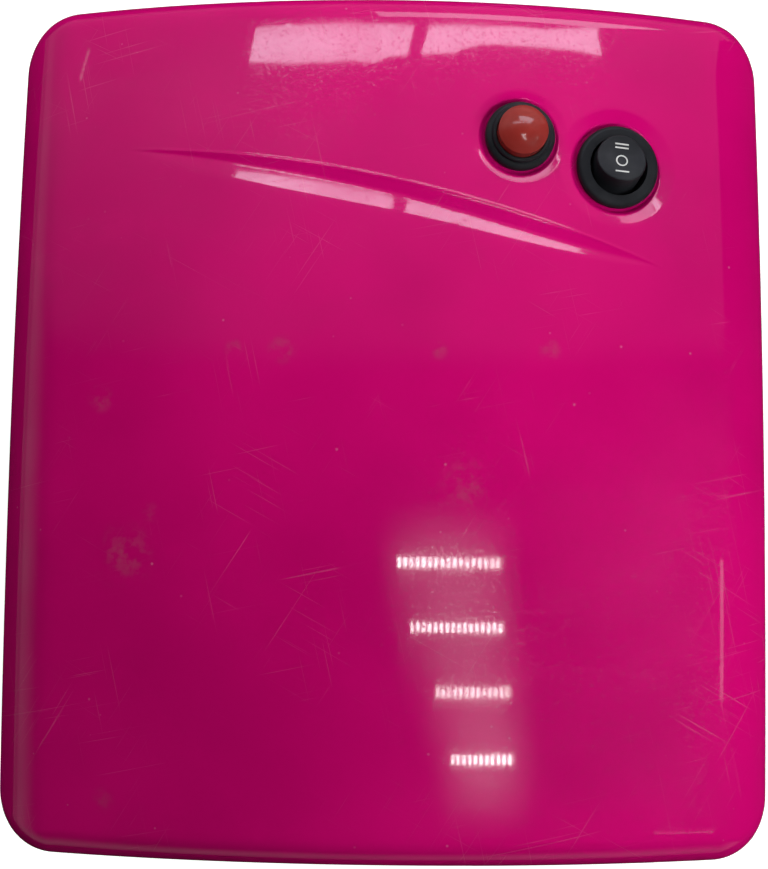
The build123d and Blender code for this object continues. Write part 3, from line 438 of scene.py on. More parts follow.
    def _stain(self, graph: Graph, place: Point, reach: float) -> bpy.types.NodeSocket:
        """Mask of one faint stain that fades out from a place.

        Args:
            graph: Graph to build in.
            place: Centre of the stain, in millimetres.
            reach: Distance at which it has faded, in millimetres.

        Returns:
            The mask's output.
        """
        node = graph.new("ShaderNodeVectorMath")
        node.operation = "DISTANCE"
        graph.link(graph.place, node.inputs[0])
        node.inputs[1].default_value = tuple(v * MM for v in place)
        near = graph.ramp(node.outputs["Value"], reach * MM, 0.0)
        patches = graph.texture(Texture.NOISE, self.stain_scale, Detail=5.0, Roughness=0.7)
        blotch = graph.ramp(patches, *self.stain_cut, 0.0, self.stain_share)
        return graph.combine(near, blotch, "MULTIPLY")


@dataclass(frozen=True)
class MouldedPlastic:
    """Moulded plastic with a fine grain and slight unevenness of colour."""

    name: str
    colour: Colour
    roughness: float = 0.4
    grain: float = 900.0
    depth: float = 0.00002
    dust: float = 0.06
    shine: float = 0.5
    cloud_scale: float = 70.0
    cloud_cut: Pair = (0.35, 0.75)
    paler: float = 1.25
    lift: float = 0.012
    speck_scale: float = 420.0
    speck_cut: Pair = (0.3, 0.7)
    smoother: float = 0.9

    def build(self) -> bpy.types.Material:
        """Make the material.

        Returns:
            The material.
        """
        graph = Graph(self.name)
        cloud = graph.texture(Texture.NOISE, self.cloud_scale, Detail=4.0, Roughness=0.6)
        paler = tuple(min(1.0, c * self.paler + self.lift) for c in self.colour)
        graph.drive("Base Color", graph.blend(graph.ramp(cloud, *self.cloud_cut), self.colour, paler))
        specks = graph.texture(Texture.NOISE, self.speck_scale, Detail=3.0, Roughness=0.7)
        smooth, dull = self.roughness * self.smoother, self.roughness + self.dust
        graph.drive("Roughness", graph.ramp(specks, *self.speck_cut, smooth, dull))
        graph.set(Specular_IOR_Level=self.shine)
        graph.bump(graph.texture(Texture.NOISE, self.grain, Detail=2.0), self.depth)
        return graph.material


@dataclass(frozen=True)
class Metal:
    """Bare metal with drawn lines along one axis, or bright when the lines are faint."""

    name: str
    colour: Colour
    roughness: float = 0.3
    lines: Point = (30.0, 900.0, 900.0)
    depth: float = 0.00001
    line_cut: Pair = (0.3, 0.7)
    line_sheen: float = 0.7
    cloud_scale: float = 50.0
    cloud_cut: Pair = (0.35, 0.75)
    darker: float = 0.82
    tarnish: float = 0.12
    tarnish_cut: Pair = (0.5, 0.8)

    def build(self) -> bpy.types.Material:
        """Make the material.

        Returns:
            The material.
        """
        graph = Graph(self.name)
        graph.set(Metallic=1.0)
        drawn = graph.texture(Texture.NOISE, 1.0, graph.stretch(self.lines), Detail=3.0)
        cloud = graph.texture(Texture.NOISE, self.cloud_scale, Detail=4.0, Roughness=0.6)
        darker = tuple(c * self.darker for c in self.colour)
        graph.drive("Base Color", graph.blend(graph.ramp(cloud, *self.cloud_cut), self.colour, darker))
        rough = graph.ramp(drawn, *self.line_cut, self.roughness * self.line_sheen, self.roughness)
        dull = graph.ramp(cloud, *self.tarnish_cut, 0.0, self.tarnish)
        graph.drive("Roughness", graph.combine(rough, dull))
        graph.bump(drawn, self.depth)
        return graph.material


@dataclass(frozen=True)
class CoatedGlass:
    """Lamp glass with a white coating on its inside, seen through the clear wall."""

    name: str
    colour: Colour
    end_colour: Colour
    powder_scale: float = 500.0
    powder_cut: Pair = (0.4, 0.8)
    powder_share: float = 0.5
    powder_depth: float = 0.000004
    cloud_scale: float = 35.0
    cloud_cut: Pair = (0.5, 0.8)
    cloud_share: float = 0.4
    rough_cut: Pair = (0.3, 0.7)
    rough_range: Pair = (0.10, 0.18)

    def build(self) -> bpy.types.Material:
        """Make the material.

        Returns:
            The material.
        """
        graph = Graph(self.name)
        powder = graph.texture(Texture.NOISE, self.powder_scale, Detail=5.0, Roughness=0.7)
        cloud = graph.texture(Texture.NOISE, self.cloud_scale, Detail=3.0)
        dusted = graph.ramp(powder, *self.powder_cut, 0.0, self.powder_share)
        colour = graph.blend(dusted, self.colour, self.end_colour)
        clouded = graph.ramp(cloud, *self.cloud_cut, 0.0, self.cloud_share)
        graph.drive("Base Color", graph.blend(clouded, colour, self.end_colour))
        graph.drive("Roughness", graph.ramp(cloud, *self.rough_cut, *self.rough_range))
        graph.set(IOR=1.5, Coat_Weight=0.6, Coat_Roughness=0.04)
        graph.bump(powder, self.powder_depth)
        return graph.material


@dataclass(frozen=True)
class ClearGlass:
    """Clear glass of the fuse link, with a fine draw along it."""

    name: str
    colour: Colour = (0.93, 0.97, 0.96)
    draw_colour: Colour = (0.85, 0.90, 0.89)
    draw: Point = (300.0, 20.0, 300.0)
    colour_cut: Pair = (0.4, 0.6)
    rough_cut: Pair = (0.3, 0.7)
    rough_range: Pair = (0.02, 0.08)

    def build(self) -> bpy.types.Material:
        """Make the material.

        Returns:
            The material.
        """
        graph = Graph(self.name)
        draw = graph.texture(Texture.NOISE, 1.0, graph.stretch(self.draw), Detail=2.0)
        share = graph.ramp(draw, *self.colour_cut)
        graph.drive("Base Color", graph.blend(share, self.colour, self.draw_colour))
        graph.drive("Roughness", graph.ramp(draw, *self.rough_cut, *self.rough_range))
        graph.set(Transmission_Weight=0.9, IOR=1.48)
        return graph.material


@dataclass(frozen=True)
class SoftRubber:
    """Black rubber with a dusty, matte skin."""

    name: str
    colour: Colour = (0.022, 0.022, 0.024)
    dusty: Colour = (0.070, 0.068, 0.066)
    dust_scale: float = 260.0
    dust_cut: Pair = (0.45, 0.8)
    dust_share: float = 0.6
    dust_depth: float = 0.00003
    rough_cut: Pair = (0.3, 0.7)
    rough_range: Pair = (0.62, 0.85)

    def build(self) -> bpy.types.Material:
        """Make the material.

        Returns:
            The material.
        """
        graph = Graph(self.name)
        dust = graph.texture(Texture.NOISE, self.dust_scale, Detail=6.0, Roughness=0.75)
        share = graph.ramp(dust, *self.dust_cut, 0.0, self.dust_share)
        graph.drive("Base Color", graph.blend(share, self.colour, self.dusty))
        graph.drive("Roughness", graph.ramp(dust, *self.rough_cut, *self.rough_range))
        graph.bump(dust, self.dust_depth)
        return graph.material


@dataclass(frozen=True)
class CircuitLaminate:
    """Phenolic circuit board with woven fibres and small pale dots."""

    name: str
    colour: Colour = (0.42, 0.27, 0.10)
    fibre_colour: Colour = (0.50, 0.36, 0.17)
    fibre_scale: float = 420.0
    fibre_cut: Pair = (0.2, 0.9)
    fibre_share: float = 0.35
    fibre_depth: float = 0.00002
    rough_range: Pair = (0.38, 0.55)
    dot_colour: Colour = (0.75, 0.73, 0.66)
    dot_cells: float = 130.0
    dot_size: Pair = (0.10, 0.06)
    dot_share: float = 0.6

    def build(self) -> bpy.types.Material:
        """Make the material.

        Returns:
            The material.
        """
        graph = Graph(self.name)
        fibres = graph.texture(Texture.WAVES, self.fibre_scale, Distortion=2.0, Detail=3.0)
        cells = graph.texture(Texture.CELLS, self.dot_cells, output="Distance")
        woven = graph.ramp(fibres, *self.fibre_cut, 0.0, self.fibre_share)
        dots = graph.ramp(cells, *self.dot_size, 0.0, self.dot_share)
        colour = graph.blend(woven, self.colour, self.fibre_colour)
        graph.drive("Base Color", graph.blend(dots, colour, self.dot_colour))
        graph.drive("Roughness", graph.ramp(fibres, *self.fibre_cut, *self.rough_range))
        graph.bump(fibres, self.fibre_depth)
        return graph.material


def smooth_min(first: np.ndarray, second: np.ndarray, width: float) -> np.ndarray:
    """Lesser of two fields, rounded where they cross.

    Args:
        first: First field.
        second: Second field.
        width: Width of the rounding, in the fields' unit.

    Returns:
        The joined field.
    """
    overlap = np.maximum(width - np.abs(first - second), 0) / width
    return np.minimum(first, second) - overlap ** 2 * width / 4


def smooth_max(first: np.ndarray, second: np.ndarray, width: float) -> np.ndarray:
    """Greater of two fields, rounded where they cross."""
    return -smooth_min(-first, -second, width)


def mesh_object(name: str, points: np.ndarray, faces: Faces) -> bpy.types.Object:
    """Link a new object whose mesh is given in millimetres.

    Args:
        name: Name of the object and of its mesh.
        points: Vertices, one row each.
        faces: Vertex numbers of each face.

    Returns:
        The new object.
    """
    mesh = bpy.data.meshes.new(name)
    mesh.from_pydata((np.asarray(points) * MM).tolist(), [], faces)
    mesh.update()
    piece = bpy.data.objects.new(name, mesh)
    bpy.context.scene.collection.objects.link(piece)
    return piece


def prism(outline: list[Pair], basis: Matrix, low: float, high: float) -> Solid:
    """Straight prism over a closed outline.

    Args:
        outline: Points of the outline in the local x and y, counter-clockwise.
        basis: Local frame, with z along the prism.
        low: Local z of the first end.
        high: Local z of the other end.

    Returns:
        Vertices and faces.
    """
    count = len(outline)
    points = [basis @ Vector((x, y, z)) for z in (low, high) for x, y in outline]
    faces = [tuple(reversed(range(count))), tuple(range(count, 2 * count))]
    faces += [(i, (i + 1) % count, count + (i + 1) % count, count + i) for i in range(count)]
    return np.array(points), faces


def lathe(profile: list[Pair], basis: Matrix, steps: int = 96) -> Solid:
    """Closed solid of revolution round the local z axis.

    Args:
        profile: Radius and height of each ring, from the axis at one end to the axis at the other.
        basis: Local frame.
        steps: Number of sectors.

    Returns:
        Vertices and faces.
    """
    points: list[Vector] = []
    rings: list[list[int]] = []
    for radius, height in profile:
        if radius < TINY:
            rings.append([len(points)])
            points.append(basis @ Vector((0, 0, height)))
            continue
        rings.append(list(range(len(points), len(points) + steps)))
        for step in range(steps):
            angle = 2 * math.pi * step / steps
            points.append(basis @ Vector((radius * math.cos(angle), radius * math.sin(angle), height)))
    faces: Faces = []
    for lower, upper in zip(rings, rings[1:]):
        for step in range(steps):
            ahead = (step + 1) % steps
            if len(lower) == 1 and len(upper) == 1:
                break
            if len(lower) == 1:
                faces.append((lower[0], upper[step], upper[ahead]))
            elif len(upper) == 1:
                faces.append((lower[step], lower[ahead], upper[0])[::-1])
            else:
                faces.append((lower[step], upper[step], upper[ahead], lower[ahead]))
    return np.array(points), [face[::-1] for face in faces]


def joined(solids: list[Solid]) -> Solid:
    """Several solids in one list of vertices and faces.

    Args:
        solids: Vertices and faces of each.

    Returns:
        All vertices and faces.
    """
    faces: Faces = []
    offset = 0
    for points, own in solids:
        faces += [tuple(offset + v for v in face) for face in own]
        offset += len(points)
    return np.vstack([points for points, _ in solids]), faces


def bend(centre: Pair, radius: float, start: float, end: float, steps: int) -> list[Pair]:
    """Points along an arc.

    Args:
        centre: Centre of the arc.
        radius: Its radius.
        start: First angle in degrees.
        end: Last angle in degrees.
        steps: Number of steps.

    Returns:
        The points, both ends included.
    """
    angles = [math.radians(start + (end - start) * i / steps) for i in range(steps + 1)]
    return [(centre[0] + radius * math.cos(a), centre[1] + radius * math.sin(a)) for a in angles]


@dataclass(frozen=True)
class Seat:
    """Plane that a switch seats on, and the sizes of the switch around it."""

    place: Pair
    lean: Pair
    sink: float
    flange: float
    barrel: float
    dish: float

    @property
    def axis(self) -> Vector:
        """Direction that the switch faces."""
        return Vector((*(math.tan(math.radians(a)) for a in self.lean), 1)).normalized()

    def basis(self, form: "CoverForm") -> Matrix:
        """Frame of the seat: origin on the plane, x across the cover and z outwards.

        Args:
            form: Form of the cover that the seat is sunk into.

        Returns:
            The frame, in millimetres.
        """
        across = Vector((1, 0, -math.tan(math.radians(self.lean[0])))).normalized()
        up = self.axis
        along = up.cross(across)
        turn = Matrix((across, along, up)).transposed().to_4x4()
        x, y = self.place
        return Matrix.Translation((x, y, form.roof_height(x, y) - self.sink)) @ turn


@dataclass(frozen=True)
class CoverForm:
    """Form of the cover: a doubly arched roof on a drafted, round-cornered body."""

    width: float = 210.0
    depth: float = 234.0
    height: float = 100.0
    bottom: float = 12.0
    middle: float = -4.5
    crown: float = -39.5
    arch: float = 270.0
    roof: float = 1100.0
    shoulder_inset: float = 17.0
    shoulder: float = 29.0
    corner: float = 18.0
    draft: float = 1.5
    rim: float = 8.0
    wall: float = 3.0
    blunt: float = 0.98
    groove_start: Pair = (-71.0, 67.6)
    groove_heading: float = 3.4
    groove_radius: float = 485.0
    groove_length: float = 149.0
    groove_depth: float = 0.64
    groove_steep: Pair = (1.6, 4.8)
    groove_gentle: Pair = (7.25, 3.75)
    groove_lift: float = 0.12
    groove_edge: float = 0.2
    groove_brim: float = 0.12
    crest_height: float = 0.11
    crest_width: float = 0.42
    seat_margin: float = 0.3
    seat_flare: float = 0.8
    seat_edge: float = 0.3
    dish_slope: float = 0.17
    dish_edge: float = 0.12
    pad_margin: float = 4.0
    pad_wall: float = 4.2
    seats: tuple[Seat, ...] = (
        Seat((34.3, 71.1), (4.6, 3.1), 1.3, 9.35, 5.95, 3.6),
        Seat((60.7, 64.1), (10.0, 2.4), 1.35, 11.2, 9.9, 5.2),
    )

    def roof_height(self, x: float, y: float) -> float:
        """Height of the crown arch above a place in plan."""
        reach = self.roof - self.arch + math.sqrt(self.arch ** 2 - x ** 2)
        return self.height - self.roof + math.sqrt(reach ** 2 - (y - self.crown) ** 2)

    def _roof(self, p: np.ndarray) -> tuple[np.ndarray, np.ndarray]:
        """Distance outside the arched roof and its direction.

        Args:
            p: Points, one row each.

        Returns:
            Distances and unit directions.
        """
        turn = math.asin((self.width / 2 - self.shoulder_inset) / self.arch)
        centre = self.roof - self.arch
        side_x = (self.arch - self.shoulder) * math.sin(turn)
        side_r = centre + (self.arch - self.shoulder) * math.cos(turn)
        along, up = p[:, 1] - self.crown, p[:, 2] + self.roof - self.height
        rho = np.hypot(along, up)
        across = np.abs(p[:, 0])
        crown = across < (rho - centre) * math.tan(turn)
        dx = np.where(crown, across, np.maximum(across - side_x, 0))
        dr = np.where(crown, rho - centre, np.maximum(rho - side_r, 0))
        reach = np.maximum(np.hypot(dx, dr), TINY)
        distance = reach - np.where(crown, self.arch, self.shoulder)
        unit_x, unit_r = dx / reach, dr / reach
        direction = np.stack([unit_x * np.sign(p[:, 0]), unit_r * along / rho, unit_r * up / rho], axis=1)
        return distance, direction

    def _body(self, p: np.ndarray) -> tuple[np.ndarray, np.ndarray]:
        """Distance outside the drafted body and its direction.

        Args:
            p: Points, one row each.

        Returns:
            Distances and unit directions.
        """
        slope = math.radians(self.draft)
        x, y = p[:, 0], p[:, 1] - self.middle
        qx = np.abs(x) - (self.width / 2 - self.corner)
        qy = np.abs(y) - (self.depth / 2 - self.corner)
        ox, oy = np.maximum(qx, 0), np.maximum(qy, 0)
        reach = np.maximum(np.hypot(ox, oy), TINY)
        plan = np.hypot(ox, oy) + np.minimum(np.maximum(qx, qy), 0) - self.corner
        inside = (qx <= 0) & (qy <= 0)
        nx = np.where(inside, qx > qy, ox / reach) * np.sign(x)
        ny = np.where(inside, qx <= qy, oy / reach) * np.sign(y)
        distance = (plan + (p[:, 2] - self.bottom) * math.tan(slope)) * math.cos(slope)
        direction = np.stack([nx * math.cos(slope), ny * math.cos(slope),
                              np.full(len(p), math.sin(slope))], axis=1)
        return distance, direction

    def shell(self, p: np.ndarray) -> np.ndarray:
        """Field of the plain cover, with its rim rounded.

        Args:
            p: Points, one row each.

        Returns:
            Signed distances, negative inside.
        """
        (a, na), (b, nb) = self._roof(p), self._body(p)
        u, w = a + self.rim, b + self.rim
        c = np.clip((na * nb).sum(axis=1), -self.blunt, self.blunt)
        alpha = (u - c * w) / (1 - c * c)
        beta = (w - c * u) / (1 - c * c)
        rounded = np.sqrt(np.maximum((u * u + w * w - 2 * c * u * w) / (1 - c * c), 0)) - self.rim
        field_value = np.where(beta < 0, a, np.where(alpha < 0, b, rounded))
        return np.where((u < 0) & (w < 0), np.maximum(a, b), field_value)

    def groove(self, p: np.ndarray) -> np.ndarray:
        """Height field of the swept groove, negative where it cuts and positive on its raised crest.

        Args:
            p: Points, one row each.

        Returns:
            Heights above the plain roof.
        """
        start = math.radians(self.groove_heading)
        cx = self.groove_start[0] - self.groove_radius * math.sin(start)
        cy = self.groove_start[1] - self.groove_radius * math.cos(start)
        dx, dy = p[:, 0] - cx, p[:, 1] - cy
        along = (np.arctan2(dx, dy) - start) * self.groove_radius / self.groove_length
        off = self.groove_radius - np.hypot(dx, dy)
        taper = 1 - np.abs(np.clip(2 * along - 1, -1, 1)) ** 3
        deep = (self.groove_depth + self.groove_lift) * taper - self.groove_lift
        part = np.clip(along, 0, 1)
        wall, ramp = (first + (last - first) * part
                      for first, last in (self.groove_steep, self.groove_gentle))
        steep = -off * self.groove_depth / wall
        gentle = -deep + (off - wall * deep / self.groove_depth) * self.groove_depth / ramp
        cut = smooth_min(smooth_max(steep, gentle, self.groove_edge), np.zeros(len(p)), self.groove_brim)
        cut = np.where((along < 0) | (along > 1), 0, cut)
        fade = np.clip(1 - np.abs(2 * along - 1) ** 6, 0, 1)
        crest = self.crest_height * fade * np.exp(-((off + self.crest_width) / self.crest_width) ** 2)
        return cut + crest

    def _round(self, seat: Seat, p: np.ndarray) -> tuple[np.ndarray, np.ndarray]:
        """Distance of points from a switch's axis, and their height over its seat.

        Args:
            seat: The switch's seat.
            p: Points, one row each.

        Returns:
            Radii and heights.
        """
        apart = p - np.array(seat.basis(self).translation)
        high = apart @ np.array(seat.axis)
        return np.sqrt(np.maximum((apart ** 2).sum(axis=1) - high ** 2, 0)), high

    def outer(self, p: np.ndarray) -> np.ndarray:
        """Field of the outer skin, with the groove and the dished seats cut in.

        Args:
            p: Points, one row each.

        Returns:
            Signed distances, negative inside.
        """
        value = self.shell(p) - self.groove(p)
        for seat in self.seats:
            radius, high = self._round(seat, p)
            side = radius - seat.flange - self.seat_margin - self.seat_flare * high
            void = np.maximum(-high, side / math.hypot(1, self.seat_flare))
            value = smooth_max(value, -void, self.seat_edge)
            dish = (seat.flange + seat.dish - radius) * self.dish_slope
            near = np.abs(high) < self.wall + self.rim
            sunk = smooth_max(np.where(near, dish, 0), np.zeros(len(p)), self.dish_edge)
            value = value + np.minimum(sunk, seat.dish * self.dish_slope)
        return value

    def inner(self, p: np.ndarray) -> np.ndarray:
        """Field of the inner skin, with thick pads left under the switches.

        Args:
            p: Points, one row each.

        Returns:
            Signed distances, negative inside.
        """
        value = self.shell(p) + self.wall
        for seat in self.seats:
            radius, high = self._round(seat, p)
            pad = np.maximum(radius - seat.flange - self.pad_margin, -high - self.pad_wall)
            value = np.maximum(value, -pad)
        return value

    def slope(self, p: np.ndarray, step: float = 0.01) -> np.ndarray:
        """Unit gradient of the outer field by central differences.

        Args:
            p: Points, one row each.
            step: Half of the difference's span.

        Returns:
            Unit vectors, one row each.
        """
        columns = []
        for axis in np.eye(3) * step:
            columns.append(self.outer(p + axis) - self.outer(p - axis))
        gradient = np.stack(columns, axis=1)
        return gradient / np.maximum(np.linalg.norm(gradient, axis=1, keepdims=True), TINY)


def spread(stops: list[Pair]) -> np.ndarray:
    """Grid lines whose pitch changes between stretches.

    Args:
        stops: Places in order, each with the pitch up to the next place.

    Returns:
        Places of the lines.
    """
    lines = []
    for (start, pitch), (end, _) in zip(stops, stops[1:]):
        count = max(1, round((end - start) / pitch))
        lines += [start + (end - start) * i / count for i in range(count)]
    return np.array([*lines, stops[-1][0]])


class Skin:
    """Grid over one skin of the cover, from the roof round the rim and down the walls."""

    INSET = 12.0
    CORNER = 6.0
    CORNER_STEPS = 10
    CORE_LEVEL = 40.0
    CORE_DEPTH = 13.0
    ROOF_REACH = 80.0
    SIDE_REACH = 40.0
    RIM_STEPS = 14
    WALL_STEPS = 10
    HALVINGS = 36

    def __init__(self, form: CoverForm, surface: Callable[[np.ndarray], np.ndarray], xs: np.ndarray,
                 ys: np.ndarray) -> None:
        """Lay the grid.

        Args:
            form: Form of the cover.
            surface: Field whose zero is the skin.
            xs: Lines across, between the inset's rounded corners.
            ys: Lines along, between the inset's rounded corners.
        """
        self.surface = surface
        half_x, half_y = form.width / 2 - self.INSET, form.depth / 2 - self.INSET
        corner = self._corner(half_x, half_y, 45.0)
        back = corner[::-1]
        front_x = np.array([*(-x for x, _ in corner), *xs, *(x for x, _ in back)])
        front_y = np.array([*(-y for _, y in corner), *([-half_y] * len(xs)), *(-y for _, y in back)])
        swapped = self._corner(half_x, half_y, -45.0)
        ahead = swapped[::-1]
        side_y = np.array([*(-y for _, y in swapped), *(ys - form.middle), *(y for _, y in ahead)])
        side_x = np.array([*(x for x, _ in swapped), *([half_x] * len(ys)), *(x for x, _ in ahead)])
        u = (front_x - front_x[0]) / (front_x[-1] - front_x[0])
        v = (side_y - side_y[0]) / (side_y[-1] - side_y[0])
        grid_u, grid_v = np.meshgrid(u, v, indexing="ij")
        x = front_x[:, None] + (2 * grid_u - 1) * (side_x[None, :] - side_x[0])
        y = side_y[None, :] + (2 * grid_v - 1) * (-front_y[:, None] + front_y[0])
        self.shape = x.shape
        self.middle = form.middle
        self.bottom = form.bottom
        flat = np.stack([x.ravel(), y.ravel() + form.middle, np.full(x.size, self.CORE_LEVEL)], axis=1)
        self.roof = self._reach(flat, np.tile([0.0, 0.0, 1.0], (len(flat), 1)), self.ROOF_REACH)
        self._walls(half_x, half_y)

    def _corner(self, half_x: float, half_y: float, sweep: float) -> list[Pair]:
        """Points from the middle of the inset's round corner towards one of its ends.

        Args:
            half_x: Half width of the inset.
            half_y: Half depth of the inset.
            sweep: Angle from the corner's middle to that end, in degrees.

        Returns:
            The points, without the last.
        """
        angles = [math.radians(45 + sweep * i / self.CORNER_STEPS) for i in range(self.CORNER_STEPS)]
        return [(half_x - self.CORNER + self.CORNER * math.cos(angle),
                 half_y - self.CORNER + self.CORNER * math.sin(angle)) for angle in angles]

    def _reach(self, start: np.ndarray, direction: np.ndarray, far: float) -> np.ndarray:
        """Points where rays leave the form, found by halving.

        Args:
            start: Starts of the rays, inside the form.
            direction: Unit directions.
            far: Length of the rays, long enough to end outside.

        Returns:
            Points on the skin.
        """
        near, out = np.zeros(len(start)), np.full(len(start), far)
        for _ in range(self.HALVINGS):
            middle = (near + out) / 2
            inside = self.surface(start + direction * middle[:, None]) < 0
            near, out = np.where(inside, middle, near), np.where(inside, out, middle)
        return start + direction * ((near + out) / 2)[:, None]

    def _walls(self, half_x: float, half_y: float) -> None:
        """Carry the grid's edge round the rim and down to the bottom.

        Args:
            half_x: Half width of the inset.
            half_y: Half depth of the inset.
        """
        nx, ny = self.shape
        edge = [(i, 0) for i in range(nx - 1)] + [(nx - 1, j) for j in range(ny - 1)]
        edge += [(i, ny - 1) for i in range(nx - 1, 0, -1)] + [(0, j) for j in range(ny - 1, 0, -1)]
        self.edge = [i * ny + j for i, j in edge]
        top = self.roof[self.edge]
        place = top[:, :2] - [0, self.middle]
        core = np.clip(place, [self.CORNER - half_x, self.CORNER - half_y],
                       [half_x - self.CORNER, half_y - self.CORNER])
        out = place - core
        out /= np.linalg.norm(out, axis=1, keepdims=True)
        self.loops = []
        start = top - [0, 0, self.CORE_DEPTH]
        for step in range(1, self.RIM_STEPS + 1):
            angle = math.radians(90 * step / self.RIM_STEPS)
            direction = np.column_stack([out * math.sin(angle), np.full(len(out), math.cos(angle))])
            self.loops.append(self._reach(start, direction, self.SIDE_REACH))
        for step in range(1, self.WALL_STEPS + 1):
            level = start.copy()
            level[:, 2] += (self.bottom - level[:, 2]) * step / self.WALL_STEPS
            sideways = np.column_stack([out, np.zeros(len(out))])
            self.loops.append(self._reach(level, sideways, self.SIDE_REACH))

    def faces(self, first: int, outward: bool) -> tuple[np.ndarray, Faces, list[int]]:
        """Vertices and faces of the skin.

        Args:
            first: Number of its first vertex in the mesh.
            outward: Whether its faces look out of the form.

        Returns:
            Vertices, faces and the vertex numbers of the bottom loop.
        """
        nx, ny = self.shape
        quads = [(i * ny + j, (i + 1) * ny + j, (i + 1) * ny + j + 1, i * ny + j + 1)
                 for i in range(nx - 1) for j in range(ny - 1)]
        rings = [list(self.edge)]
        total = len(self.roof)
        for loop in self.loops:
            rings.append(list(range(total, total + len(loop))))
            total += len(loop)
        count = len(self.edge)
        for upper, lower in zip(rings, rings[1:]):
            pairs = [(k, (k + 1) % count) for k in range(count)]
            quads += [(upper[k], lower[k], lower[n], upper[n]) for k, n in pairs]
        if not outward:
            quads = [quad[::-1] for quad in quads]
        shifted = [tuple(first + v for v in quad) for quad in quads]
        return np.vstack([self.roof, *self.loops]), shifted, [first + v for v in rings[-1]]


